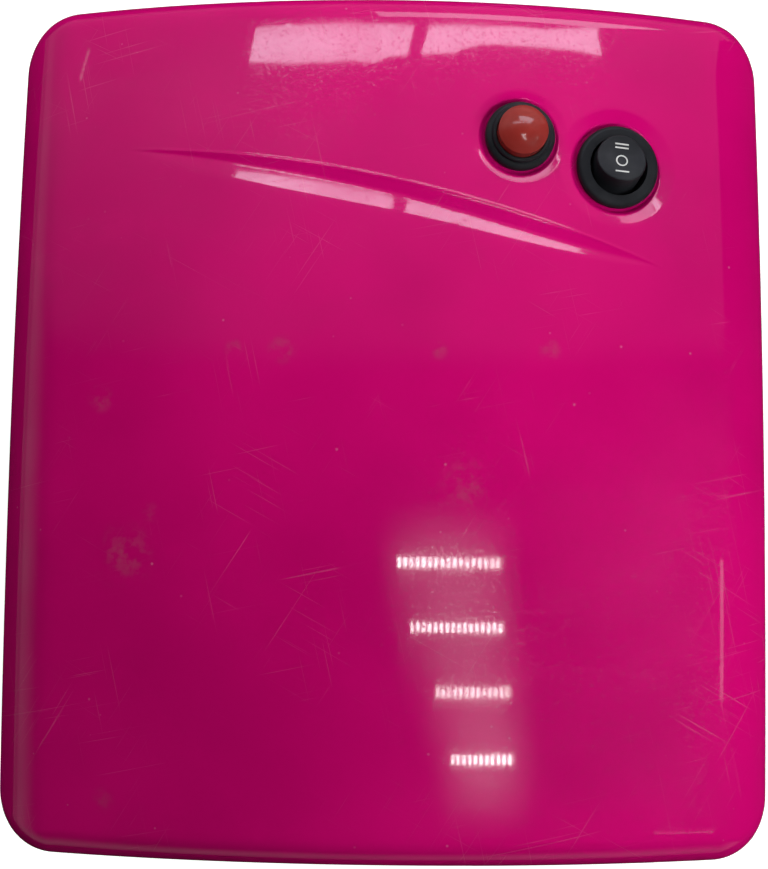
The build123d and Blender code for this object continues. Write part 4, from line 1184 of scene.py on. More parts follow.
@dataclass
class Cover:
    """Glossy top cover with its mouth, air slots, rear panel seats and switch holes."""

    form: CoverForm = field(default_factory=CoverForm)
    mouth_half: float = 80.0
    mouth_spring: float = 60.0
    mouth_top: float = 72.0
    mouth_corner: float = 15.0
    vent_centre: Pair = (-46.0, 46.0)
    vent_slot: Pair = (3.0, 24.0)
    vent_pitch: float = 9.0
    vent_count: int = 9
    panel_z: float = 28.0
    panel_depth: float = 1.0
    panel_seats: tuple[tuple[float, float, float], ...] = ((40.0, 7.9, 5.95), (74.0, 8.1, 6.05))
    boss_places: tuple[Pair, ...] = ((-95.5, -82.5), (95.5, -82.5), (-95.5, 73.5), (95.5, 73.5))
    boss: float = 4.5
    boss_bore: float = 1.5
    boss_height: float = 18.0
    cut_reach: float = 6.0
    hole_gap: float = 0.1
    hole_reach: Pair = (-8.0, 2.0)
    mouth_foot: float = 3.0
    arc_steps: tuple[int, int, int] = (16, 64, 12)
    outer_across: tuple[Pair, ...] = ((-78.0, 1.3), (18.0, 0.36), (76.0, 1.3))
    outer_along: tuple[Pair, ...] = ((34.0, 0.40), (88.0, 1.6))
    outer_pitch: Pair = (2.4, 2.6)
    inner_across: tuple[Pair, ...] = ((18.0, 1.5), (76.0, 3.0))
    inner_along: tuple[Pair, ...] = ((48.0, 1.5), (88.0, 3.0))
    inner_pitch: float = 3.0
    sharp: float = 30.0
    skin_gap: float = 0.02
    agree: float = 38.0

    def build(self, finish: bpy.types.Material) -> bpy.types.Object:
        """Build the cover, cut it and give it the form's own normals.

        Args:
            finish: Material of the cover.

        Returns:
            The finished piece.
        """
        piece = self._blank()
        cutter = self._cutter()
        cut = piece.modifiers.new("openings", "BOOLEAN")
        cut.operation = "DIFFERENCE"
        cut.solver = "MANIFOLD"
        cut.object = cutter
        graph = bpy.context.evaluated_depsgraph_get()
        mesh = bpy.data.meshes.new_from_object(piece.evaluated_get(graph))
        piece.modifiers.clear()
        piece.data = mesh
        bpy.data.objects.remove(cutter)
        self._shade(mesh)
        mesh.materials.clear()
        mesh.materials.append(finish)
        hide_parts("top_cover")
        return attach(piece, Body.HOUSING.value)

    def _blank(self) -> bpy.types.Object:
        """Closed shell of the cover before its openings are cut.

        Returns:
            The shell.
        """
        form = self.form
        border = Skin.INSET + Skin.CORNER
        half_x, half_y = form.width / 2 - border, form.depth / 2 - border
        low, high = form.middle - half_y, form.middle + half_y
        pitch_x, pitch_y = self.outer_pitch
        outer = Skin(form, form.outer, spread([(-half_x, pitch_x), *self.outer_across, (half_x, 1)]),
                     spread([(low, pitch_y), *self.outer_along, (high, 1)]))
        pitch = self.inner_pitch
        inner = Skin(form, form.inner, spread([(-half_x, pitch), *self.inner_across, (half_x, 1)]),
                     spread([(low, pitch), *self.inner_along, (high, 1)]))
        points, faces, rim = outer.faces(0, True)
        inner_points, inner_faces, inner_rim = inner.faces(len(points), False)
        everything = np.vstack([points, inner_points])
        faces += inner_faces + self._ring(everything, rim, inner_rim)
        return mesh_object("cover_shell", everything, faces)

    def _ring(self, points: np.ndarray, outer: list[int], inner: list[int]) -> Faces:
        """Triangles of the flat bottom edge between two loops with different counts.

        Args:
            points: All the vertices.
            outer: Vertex numbers of the outer loop, counter-clockwise from above.
            inner: Vertex numbers of the inner loop, the same way round.

        Returns:
            The faces, looking down.
        """
        def turn(index: int) -> float:
            """Angle of a vertex round the cover's middle."""
            return math.atan2(points[index][1] - self.form.middle, points[index][0])

        outer = sorted(outer, key=turn)
        inner = sorted(inner, key=turn)
        faces = []
        i = j = 0
        while i < len(outer) or j < len(inner):
            next_outer = turn(outer[i % len(outer)]) + 2 * math.pi * (i // len(outer))
            next_inner = turn(inner[j % len(inner)]) + 2 * math.pi * (j // len(inner))
            here_outer, here_inner = outer[i - 1], inner[j - 1]
            if i < len(outer) and (j >= len(inner) or next_outer <= next_inner):
                faces.append((here_outer, here_inner, outer[i]))
                i += 1
            else:
                faces.append((here_outer, here_inner, inner[j]))
                j += 1
        return faces

    def _cutter(self) -> bpy.types.Object:
        """One mesh of separate solids for the mouth, slots, panel seats and switch holes.

        Returns:
            The cutting mesh.
        """
        form, reach = self.form, self.cut_reach
        solids = [prism(self._mouth(), self._facing_front(form.middle - form.depth / 2), -reach, reach)]
        rear = form.middle + form.depth / 2
        first = self.vent_centre[0] - self.vent_pitch * (self.vent_count - 1) / 2
        for index in range(self.vent_count):
            centre = (first + index * self.vent_pitch, self.vent_centre[1])
            solids.append(prism(self._slot(centre), self._facing_front(rear), -reach, reach))
        for x, flange, bore in self.panel_seats:
            seat = Matrix.Translation((x, rear - self.panel_depth, self.panel_z)) @ Matrix.Rotation(
                math.radians(-90), 4, "X")
            solids.append(lathe([(0, -reach), (bore, -reach), (bore, 0), (flange, 0), (flange, reach / 2),
                                 (0, reach / 2)], seat))
        low, high = self.hole_reach
        for seat in form.seats:
            hole = seat.barrel + self.hole_gap
            solids.append(lathe([(0, low), (hole, low), (hole, high), (0, high)], seat.basis(form)))
        return mesh_object("cover_cutter", *joined(solids))

    @staticmethod
    def _facing_front(y: float) -> Matrix:
        """Upright frame at a depth: local x is right, y is up and z points to the front."""
        return Matrix.Translation((0, y, 0)) @ Matrix.Rotation(math.radians(90), 4, "X")

    def _mouth(self) -> list[Pair]:
        """Outline of the hand opening: straight jambs under a flat arch with round corners.

        Returns:
            Points of the outline.
        """
        half, spring, rise = self.mouth_half, self.mouth_spring, self.mouth_top - self.mouth_spring
        arch = (half ** 2 + rise ** 2) / (2 * rise)
        centre_z = self.mouth_top - arch
        corner_x = half - self.mouth_corner
        corner_z = centre_z + math.sqrt((arch - self.mouth_corner) ** 2 - corner_x ** 2)
        lean = math.degrees(math.atan2(corner_z - centre_z, corner_x))
        foot = self.form.bottom - self.mouth_foot
        corner_steps, crown_steps, _ = self.arc_steps
        right = [(half, foot), *bend((corner_x, corner_z), self.mouth_corner, 0, lean, corner_steps)]
        crown = bend((0, centre_z), arch, lean, 180 - lean, crown_steps)[1:-1]
        return [*right, *crown, *[(-x, z) for x, z in reversed(right)]]

    def _slot(self, centre: Pair) -> list[Pair]:
        """Outline of one upright air slot with round ends.

        Args:
            centre: Centre of the slot on the rear wall.

        Returns:
            Points of the outline.
        """
        x, z = centre
        width, height = self.vent_slot
        radius, straight, steps = width / 2, (height - width) / 2, self.arc_steps[2]
        top = bend((x, z + straight), radius, 0, 180, steps)
        return top + bend((x, z - straight), radius, 180, 360, steps)

    def _shade(self, mesh: bpy.types.Mesh) -> None:
        """Give the outer skin the form's own normals and keep the cut edges crisp.

        Args:
            mesh: Mesh to shade.
        """
        count = len(mesh.vertices)
        flat = np.zeros(count * 3)
        mesh.vertices.foreach_get("co", flat)
        points = flat.reshape(-1, 3) / MM
        on_skin = np.abs(self.form.outer(points)) < self.skin_gap
        slopes = self.form.slope(points)
        loops = np.zeros(len(mesh.loops), dtype=int)
        mesh.loops.foreach_get("vertex_index", loops)
        polygons = len(mesh.polygons)
        normals, sizes = np.zeros(polygons * 3), np.zeros(polygons, dtype=int)
        mesh.polygons.foreach_get("normal", normals)
        mesh.polygons.foreach_get("loop_total", sizes)
        owner = np.repeat(np.arange(polygons), sizes)
        face_normals = normals.reshape(-1, 3)[owner]
        wanted = slopes[loops]
        alike = (wanted * face_normals).sum(axis=1) > math.cos(math.radians(self.agree))
        agree = on_skin[loops] & alike
        mesh.polygons.foreach_set("use_smooth", np.ones(polygons, dtype=bool))
        mesh.set_sharp_from_angle(angle=math.radians(self.sharp))
        custom = np.where(agree[:, None], wanted, 0.0)
        mesh.normals_split_custom_set(custom.tolist())


@dataclass(frozen=True)
class CoverPosts:
    """Screw posts that hang inside the corners of the cover, each tied to the wall by a rib."""

    cover: Cover
    rib: float = 2.0
    rib_start: float = -0.6
    rib_end: float = 3.6
    steps: int = 40

    def build(self, finish: bpy.types.Material) -> bpy.types.Object:
        """Build the four posts as one piece.

        Args:
            finish: Material of the cover.

        Returns:
            The finished piece.
        """
        base = self.cover
        bottom = base.form.bottom
        solids: list[Solid] = []
        for x, y in base.boss_places:
            top = bottom + base.boss_height
            ring = [(base.boss_bore, bottom), (base.boss, bottom), (base.boss, top), (0, top),
                    (0, top - self.rib), (base.boss_bore, top - self.rib), (base.boss_bore, bottom)]
            basis = Matrix.Translation((x, y, 0))
            near, far = base.boss + self.rib_start, base.boss + self.rib_end
            rib = [(near, -self.rib / 2), (far, -self.rib / 2), (far, self.rib / 2), (near, self.rib / 2)]
            turn = basis @ Matrix.Rotation(0 if x > 0 else math.pi, 4, "Z")
            solids += [lathe(ring, basis, self.steps), prism(rib, turn, bottom, top)]
        piece = mesh_object("cover_posts", *joined(solids))
        piece.data.materials.append(finish)
        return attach(piece, Body.HOUSING.value)


def paint(node: str, finish: bpy.types.Material) -> None:
    """Give a piece of the frame a finish in every one of its material slots.

    Args:
        node: Name of the frame's piece.
        finish: Its material.
    """
    piece = frame["nodes"][node]
    if not piece.data.materials:
        piece.data.materials.append(finish)
    for place in piece.material_slots:
        place.material = finish


@dataclass(frozen=True)
class Paddle:
    """Face of the rocker switch's paddle, which its printed marks lie on."""

    seat: Seat = CoverForm.seats[1]
    pivot_depth: float = 1.5
    tilt: float = 12.0
    face: float = 6.1
    radius: float = 7.1
    hollow: float = 12.0

    def basis(self, form: CoverForm) -> Matrix:
        """Frame of the paddle at its pivot, pressed at the back.

        Args:
            form: Form of the cover.

        Returns:
            The frame, in millimetres.
        """
        pivot = self.seat.basis(form) @ Matrix.Translation((0, 0, -self.pivot_depth))
        return pivot @ Matrix.Rotation(math.radians(-self.tilt), 4, "X")

    def face_height(self, y: float) -> float:
        """Height of the hollowed face along the paddle.

        Args:
            y: Place along the paddle.

        Returns:
            Height over the pivot.
        """
        half = 2 * self.radius
        rise = half * math.tan(math.radians(self.hollow))
        sweep = (half ** 2 + rise ** 2) / (2 * rise)
        return self.face + sweep - math.sqrt(sweep ** 2 - y ** 2)


@dataclass(frozen=True)
class PaddleMarks:
    """Printed position marks of the rocker: two bars, a ring and one bar."""

    paddle: Paddle = field(default_factory=Paddle)
    bar: Pair = (3.7, 0.42)
    pair_at: Pair = (4.2, 3.15)
    ring_at: float = -0.6
    ring: Pair = (1.45, 0.36)
    single_at: float = -3.9
    turn: float = -4.0
    proud: float = 0.04
    sunk: float = 0.12
    pieces_per_bar: int = 10
    pieces_per_ring: int = 48

    def build(self, form: CoverForm, finish: bpy.types.Material) -> bpy.types.Object:
        """Build the marks as one piece that moves with the paddle.

        Args:
            form: Form of the cover.
            finish: Material of the print.

        Returns:
            The finished piece.
        """
        strips = [self._bar(y) for y in (*self.pair_at, self.single_at)] + [self._ring()]
        basis = self.paddle.basis(form)
        turn = math.radians(self.turn)
        points: list[Vector] = []
        faces: Faces = []
        for inner, outer, closed in strips:
            first, count = len(points), len(inner)
            for lift in (self.proud, -self.sunk):
                for x, y in (*inner, *outer):
                    across = x * math.cos(turn) - y * math.sin(turn)
                    along = x * math.sin(turn) + y * math.cos(turn)
                    points.append(basis @ Vector((across, along, self.paddle.face_height(along) + lift)))
            faces += self._strip_faces(first, count, closed)
        piece = mesh_object("paddle_marks", np.array(points), faces)
        piece.data.materials.append(finish)
        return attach(piece, Body.ROCKER.value)

    def _bar(self, y: float) -> tuple[list[Pair], list[Pair], bool]:
        """Two long edges of one bar.

        Args:
            y: Place of the bar along the paddle.

        Returns:
            Both edges, and that they don't close.
        """
        length, width = self.bar
        xs = [-length / 2 + length * i / self.pieces_per_bar for i in range(self.pieces_per_bar + 1)]
        return [(x, y - width / 2) for x in xs], [(x, y + width / 2) for x in xs], False

    def _ring(self) -> tuple[list[Pair], list[Pair], bool]:
        """Outer and inner edge of the ring.

        Returns:
            Both edges, and that they close.
        """
        radius, width = self.ring
        outer, inner = (bend((0, self.ring_at), reach, 0, 360, self.pieces_per_ring)[:-1]
                        for reach in (radius + width / 2, radius - width / 2))
        return outer, inner, True

    @staticmethod
    def _strip_faces(first: int, count: int, closed: bool) -> Faces:
        """Faces of a thin closed solid between two edges.

        Args:
            first: Number of its first vertex.
            count: Points on each edge.
            closed: Whether the strip runs back into itself.

        Returns:
            The faces.
        """
        near, far = first, first + count
        low_near, low_far = first + 2 * count, first + 3 * count
        faces: Faces = []
        for i in range(count if closed else count - 1):
            j = (i + 1) % count
            faces += [(near + i, near + j, far + j, far + i),
                      (low_near + i, low_far + i, low_far + j, low_near + j),
                      (near + i, low_near + i, low_near + j, near + j),
                      (far + i, far + j, low_far + j, low_far + i)]
        if not closed:
            end = count - 1
            faces += [(near, far, low_far, low_near),
                      (near + end, low_near + end, low_far + end, far + end)]
        return faces


@dataclass(frozen=True)
class PhotoCamera:
    """Camera that looks down on the cover as the photograph does."""

    distance: float = 440.0
    focal_pixels: float = 1562.0
    pitch: float = -4.821
    yaw: float = 0.043
    roll: float = -0.705
    centre: Pair = (387.15, 428.41)
    aim: Point = (0.0, -4.5, 60.0)
    sensor: float = 36.0
    clip: Pair = (0.01, 20.0)

    @property
    def turn(self) -> Matrix:
        """Rotation from the frame into the camera's right, up and back.

        Returns:
            The rotation.
        """
        turns = ((self.pitch, "X"), (self.yaw, "Y"), (self.roll, "Z"))
        matrix = Matrix.Identity(3)
        for angle, axis in turns:
            matrix = Matrix.Rotation(math.radians(angle), 3, axis) @ matrix
        return matrix

    @property
    def place(self) -> Vector:
        """Place of the lens in millimetres."""
        return Vector(self.aim) + self.turn.transposed() @ Vector((0, 0, self.distance))

    def build(self) -> bpy.types.Object:
        """Make the camera and use it.

        Returns:
            The camera.
        """
        data = bpy.data.cameras.new("photo_camera")
        data.sensor_width = self.sensor
        data.lens = self.focal_pixels * self.sensor / PHOTO_HEIGHT
        data.shift_x = -(self.centre[0] - PHOTO_WIDTH / 2) / PHOTO_HEIGHT
        data.shift_y = (self.centre[1] - PHOTO_HEIGHT / 2) / PHOTO_HEIGHT
        data.clip_start, data.clip_end = self.clip
        camera = bpy.data.objects.new("photo_camera", data)
        bpy.context.scene.collection.objects.link(camera)
        camera.matrix_world = Matrix.Translation(self.place * MM) @ self.turn.transposed().to_4x4()
        bpy.context.scene.camera = camera
        return camera


@dataclass(frozen=True)
class Reflection:
    """A bright streak on the cover, given by its two ends in plan, its width and how bright its lamp is."""

    start: Pair
    end: Pair
    width: float = 2.4
    level: float = 25.0
    beads: int = 0
    soft: bool = False


@dataclass(frozen=True)
class SoftLamp:
    """Square lamp that lights the object without mirroring in its gloss."""

    name: str
    place: Point
    size: float
    level: float


@dataclass(frozen=True)
class Pane:
    """Bright pane of the window, as stations of head x, head z, foot x and foot z from left to right."""

    name: str
    level: float
    stations: tuple[tuple[float, float, float, float], ...]


@dataclass
class Studio:
    """Pale floor, soft lights, the window and strip lights that the cover reflects, and the world."""

    form: CoverForm
    eye: Vector
    floor_size: float = 8.0
    floor_colour: Colour = (0.45, 0.45, 0.45)
    floor_roughness: float = 0.9
    floor_lift: float = 0.95
    floor_gloss: float = 0.16
    lamp_aim: Point = (0.0, 0.0, 60.0)
    soft_lamps: tuple[SoftLamp, ...] = (
        SoftLamp("key", (480.0, -60.0, 400.0), 320.0, 2.8),
        SoftLamp("near_key", (250.0, -90.0, 370.0), 200.0, 4.4),
        SoftLamp("rear_left", (-120.0, 260.0, 260.0), 200.0, 3.9),
        SoftLamp("left", (-520.0, -40.0, 160.0), 300.0, 0.7),
        SoftLamp("rear_right", (150.0, 320.0, 260.0), 200.0, 3.8),
    )
    backdrop_level: float = 1.0
    fill_level: float = 0.05
    horizon_level: float = 0.38
    horizon_band: Pair = (0.45, 0.05)
    overhead_level: float = 0.008
    dado: tuple[float, float, float] = (0.19, 0.25, 0.13)
    upper_wall: tuple[float, float, float] = (0.22, 0.50, 0.16)
    flag_colour: Colour = (0.01, 0.01, 0.01)
    flag_gap: float = 14.0
    flag_reach: float = 620.0
    flag_lift: float = 1.0
    flag_side: Pair = (420.0, 380.0)
    window_y: float = 900.0
    window_tint: Colour = (1.0, 1.0, 1.18)
    panes: tuple[Pane, ...] = (
        Pane("left", 8.0, ((-569.0, 1326.0, -504.0, 1216.0), (-400.0, 1376.0, -339.0, 1245.0),
                           (-245.0, 1394.0, -245.0, 1256.0), (-157.0, 1395.0, -157.0, 1264.0),
                           (-70.0, 1412.0, -70.0, 1270.0), (-10.0, 1386.0, 0.0, 1272.0),
                           (62.0, 1381.0, 84.0, 1273.0))),
        Pane("right", 8.0, ((116.0, 1374.0, 138.0, 1270.0), (248.0, 1354.0, 248.0, 1254.0),
                            (276.0, 1333.0, 276.0, 1250.0), (338.0, 1308.0, 338.0, 1242.0),
                            (569.0, 1255.0, 569.0, 1188.0), (818.0, 1184.0, 750.0, 1110.0))),
        Pane("low", 4.0, ((-40.0, 1120.0, -40.0, 640.0), (760.0, 1120.0, 760.0, 640.0))),
    )
    lamp_reach: float = 1500.0
    halvings: int = 30
    bead_range: tuple[float, float, float, float] = (-1.0, 0.6, 0.10, 1.5)
    streaks: tuple[Reflection, ...] = (
        Reflection((-4.0, -44.0), (37.0, -44.0), 40.0, 1.45, soft=True),
        Reflection((0.0, -60.0), (38.0, -60.0), 40.0, 1.45, soft=True),
        Reflection((7.0, -77.0), (40.0, -77.0), 40.0, 1.45, soft=True),
        Reflection((11.0, -93.0), (41.0, -93.0), 38.0, 1.4, soft=True),
        Reflection((2.9, -42.0), (30.0, -42.0), beads=17),
        Reflection((6.4, -58.4), (30.6, -58.4), beads=16),
        Reflection((13.1, -74.7), (32.5, -74.7), beads=13),
        Reflection((17.1, -91.6), (33.2, -91.6), beads=11),
        Reflection((88.8, -40.4), (88.7, -77.0), 0.7, 2.2),
        Reflection((70.0, -111.4), (86.5, -111.6), 0.6, 2.6),
        Reflection((-83.4, 98.0), (-85.6, 89.0), 0.6, 2.4),
    )

    def build(self) -> None:
        """Set up floor, lights and world."""
        self._floor()
        self._flag()
        self._world()
        for lamp in self.soft_lamps:
            self._soft_lamp(lamp)
        for pane in self.panes:
            self._window(pane)
        for index, streak in enumerate(self.streaks):
            self._streak(index, streak)

    def _floor(self) -> None:
        """Lay the pale floor under the feet."""
        half = self.floor_size / 2 / MM
        corners = np.array([(-half, -half, 0), (half, -half, 0), (half, half, 0), (-half, half, 0)])
        floor = mesh_object("studio_floor", corners, [(0, 1, 2, 3)])
        graph = Graph("Studio floor")
        graph.set(Base_Color=self.floor_colour, Roughness=self.floor_roughness, Specular_IOR_Level=0.0,
                  Emission_Color=(1.0, 1.0, 1.0))
        graph.drive("Emission Strength", graph.by_ray(0.0, self.floor_gloss, self.floor_lift))
        floor.data.materials.append(graph.material)

    def _flag(self) -> None:
        """Lay a black frame round the lamp that only its gloss shows, so that the rims stay dark."""
        form, far, level = self.form, self.flag_reach, self.flag_lift
        near_x, near_y = form.width / 2 + self.flag_gap, form.depth / 2 + self.flag_gap
        corners = [(sx * x, sy * y + form.middle, level) for x, y in ((near_x, near_y), (far, far))
                   for sx, sy in ((-1, -1), (1, -1), (1, 1), (-1, 1))]
        faces = [(i, 4 + i, 4 + (i + 1) % 4, (i + 1) % 4)[::-1] for i in range(4)]
        half, high = self.flag_side
        corners += [(far, -half, level), (far, half, level), (far, half, high), (far, -half, high)]
        faces.append((8, 9, 10, 11))
        card = mesh_object("studio_flag", np.array(corners), faces)
        graph = Graph("Studio flag")
        graph.set(Base_Color=self.flag_colour, Roughness=1.0, Specular_IOR_Level=0.0)
        card.data.materials.append(graph.material)
        card.visible_camera = False
        card.visible_diffuse = False
        card.visible_shadow = False
        card.visible_transmission = False

    def _world(self) -> None:
        """Pale backdrop for the camera, light low down and dim overhead for gloss, and an even fill."""
        world = bpy.data.worlds.new("studio_world")
        bpy.context.scene.world = world
        world.use_nodes = True
        world.node_tree.nodes.clear()
        nodes = Nodes(world.node_tree)
        parts = nodes.new("ShaderNodeSeparateXYZ")
        nodes.link(nodes.new("ShaderNodeTexCoord").outputs["Generated"], parts.inputs[0])
        low = nodes.ramp(parts.outputs["Z"], *self.horizon_band, self.overhead_level, self.horizon_level)
        dado, upper = (nodes.ramp(parts.outputs["Y"], start, end, 0.0, level)
                       for start, end, level in (self.dado, self.upper_wall))
        shown = nodes.combine(low, nodes.combine(dado, upper), "MAXIMUM")
        sky = nodes.new("ShaderNodeBackground")
        sky.inputs["Color"].default_value = (1.0, 1.0, 1.0, 1.0)
        nodes.link(nodes.by_ray(self.fill_level, shown, self.backdrop_level), sky.inputs["Strength"])
        nodes.link(sky.outputs[0], nodes.new("ShaderNodeOutputWorld").inputs["Surface"])

    @staticmethod
    def _lamp(name: str, place: Vector, aim: Vector, along: Vector, size: Pair,
              level: float) -> bpy.types.Object:
        """Rectangular lamp of a given radiance, hidden from the camera.

        Args:
            name: Name of the lamp.
            place: Its centre, in millimetres.
            aim: Point that it faces, in millimetres.
            along: Direction of its width.
            size: Width and height, in millimetres.
            level: Radiance, where one shows as white.

        Returns:
            The lamp.
        """
        data = bpy.data.lights.new(name, "AREA")
        data.shape = "RECTANGLE"
        data.size, data.size_y = size[0] * MM, size[1] * MM
        data.energy = level * math.pi * data.size * data.size_y
        lamp = bpy.data.objects.new(name, data)
        bpy.context.scene.collection.objects.link(lamp)
        back = (place - aim).normalized()
        side = (along - along.dot(back) * back).normalized()
        lamp.matrix_world = Matrix.Translation(place * MM) @ Matrix(
            (side, back.cross(side), back)).transposed().to_4x4()
        lamp.visible_camera = False
        return lamp

    def _soft_lamp(self, soft: SoftLamp) -> None:
        """Hang one soft lamp, aimed at the middle of the object."""
        lamp = self._lamp(f"{soft.name}_lamp", Vector(soft.place), Vector(self.lamp_aim), Vector((0, 1, 0)),
                          (soft.size, soft.size), soft.level)
        lamp.visible_glossy = False

    def _window(self, pane: Pane) -> None:
        """Hang one pane of the window behind the lamp, which only gloss shows.

        Args:
            pane: The pane.
        """
        y = self.window_y
        corners = [(x, y, z) for head_x, head_z, foot_x, foot_z in pane.stations
                   for x, z in ((foot_x, foot_z), (head_x, head_z))]
        faces = [(i, i + 2, i + 3, i + 1) for i in range(0, len(corners) - 2, 2)]
        piece = mesh_object(f"window_{pane.name}", np.array(corners), faces)
        material = bpy.data.materials.new(f"Window {pane.name}")
        material.use_nodes = True
        material.node_tree.nodes.clear()
        nodes = Nodes(material.node_tree)
        light = nodes.new("ShaderNodeEmission")
        light.inputs["Color"].default_value = (*self.window_tint, 1.0)
        light.inputs["Strength"].default_value = pane.level
        nodes.link(light.outputs[0], nodes.new("ShaderNodeOutputMaterial").inputs["Surface"])
        piece.data.materials.append(material)
        piece.visible_camera = False
        piece.visible_diffuse = False

    def _mirrored(self, place: Pair) -> tuple[Vector, Vector]:
        """Spot on the roof at a place in plan, and the point that it mirrors.

        Args:
            place: The place in plan.

        Returns:
            The spot, and the mirrored point at the lamps' distance.
        """
        x, y = place
        spot = Vector((x, y, self._height(x, y)))
        normal = Vector(self.form.slope(np.array([spot]))[0])
        toward = (spot - self.eye).normalized()
        away = toward - 2 * toward.dot(normal) * normal
        return spot, spot + away * self.lamp_reach

    def _height(self, x: float, y: float) -> float:
        """Height of the cover's skin above a place in plan, found by halving.

        Args:
            x: Place across.
            y: Place along.

        Returns:
            The height.
        """
        low, high = self.form.height / 2, self.form.height + 1
        for _ in range(self.halvings):
            middle = (low + high) / 2
            if self.form.outer(np.array([[x, y, middle]]))[0] < 0:
                low = middle
            else:
                high = middle
        return (low + high) / 2

    def _streak(self, index: int, streak: Reflection) -> None:
        """Hang one lamp where the roof mirrors it as a streak.

        Args:
            index: Its number.
            streak: Where the streak lies and how bright its lamp is.
        """
        (x0, y0), (x1, y1) = streak.start, streak.end
        reach = math.hypot(x1 - x0, y1 - y0)
        across = (-(y1 - y0) / reach * streak.width / 2, (x1 - x0) / reach * streak.width / 2)
        middle = ((x0 + x1) / 2, (y0 + y1) / 2)
        spot, centre = self._mirrored(middle)
        _, first = self._mirrored(streak.start)
        _, last = self._mirrored(streak.end)
        _, near = self._mirrored((middle[0] - across[0], middle[1] - across[1]))
        _, far = self._mirrored((middle[0] + across[0], middle[1] + across[1]))
        size = ((last - first).length, (far - near).length)
        lamp = self._lamp(f"streak_lamp_{index}", centre, spot, last - first, size, streak.level)
        if streak.beads:
            self._bead(lamp, streak.beads)
        if streak.soft:
            self._soften(lamp)

    @staticmethod
    def _face(lamp: bpy.types.Object) -> tuple[Nodes, bpy.types.Node]:
        """Start a strength that varies over a lamp's face.

        Args:
            lamp: The lamp.

        Returns:
            Its nodes, and the node that gives the place on its face, from 0 to 1 each way.
        """
        lamp.data.use_nodes = True
        lamp.data.node_tree.nodes.clear()
        nodes = Nodes(lamp.data.node_tree)
        parts = nodes.new("ShaderNodeSeparateXYZ")
        nodes.link(nodes.new("ShaderNodeNewGeometry").outputs["Parametric"], parts.inputs[0])
        return nodes, parts

    @staticmethod
    def _shine(nodes: Nodes, strength: bpy.types.NodeSocket) -> None:
        """Let a lamp shine with a strength.

        Args:
            nodes: The lamp's nodes.
            strength: Output that carries the share of its level.
        """
        light = nodes.new("ShaderNodeEmission")
        nodes.link(strength, light.inputs["Strength"])
        nodes.link(light.outputs[0], nodes.new("ShaderNodeOutputLight").inputs["Surface"])

    def _soften(self, lamp: bpy.types.Object) -> None:
        """Let a lamp fade toward its edges.

        Args:
            lamp: The lamp.
        """
        nodes, parts = self._face(lamp)
        across, along = (nodes.ramp(nodes.combine(parts.outputs[name], 0.5, "PINGPONG"), 0.0, 0.5)
                         for name in "XY")
        self._shine(nodes, nodes.combine(across, along, "MULTIPLY"))

    def _bead(self, lamp: bpy.types.Object, count: int) -> None:
        """Break a strip light up into a row of bright points.

        Args:
            lamp: The strip light.
            count: Number of points.
        """
        nodes, parts = self._face(lamp)
        turn = nodes.combine(parts.outputs["X"], 2 * math.pi * count, "MULTIPLY")
        wave = nodes.combine(turn, 0.0, "SINE")
        self._shine(nodes, nodes.ramp(wave, *self.bead_range))


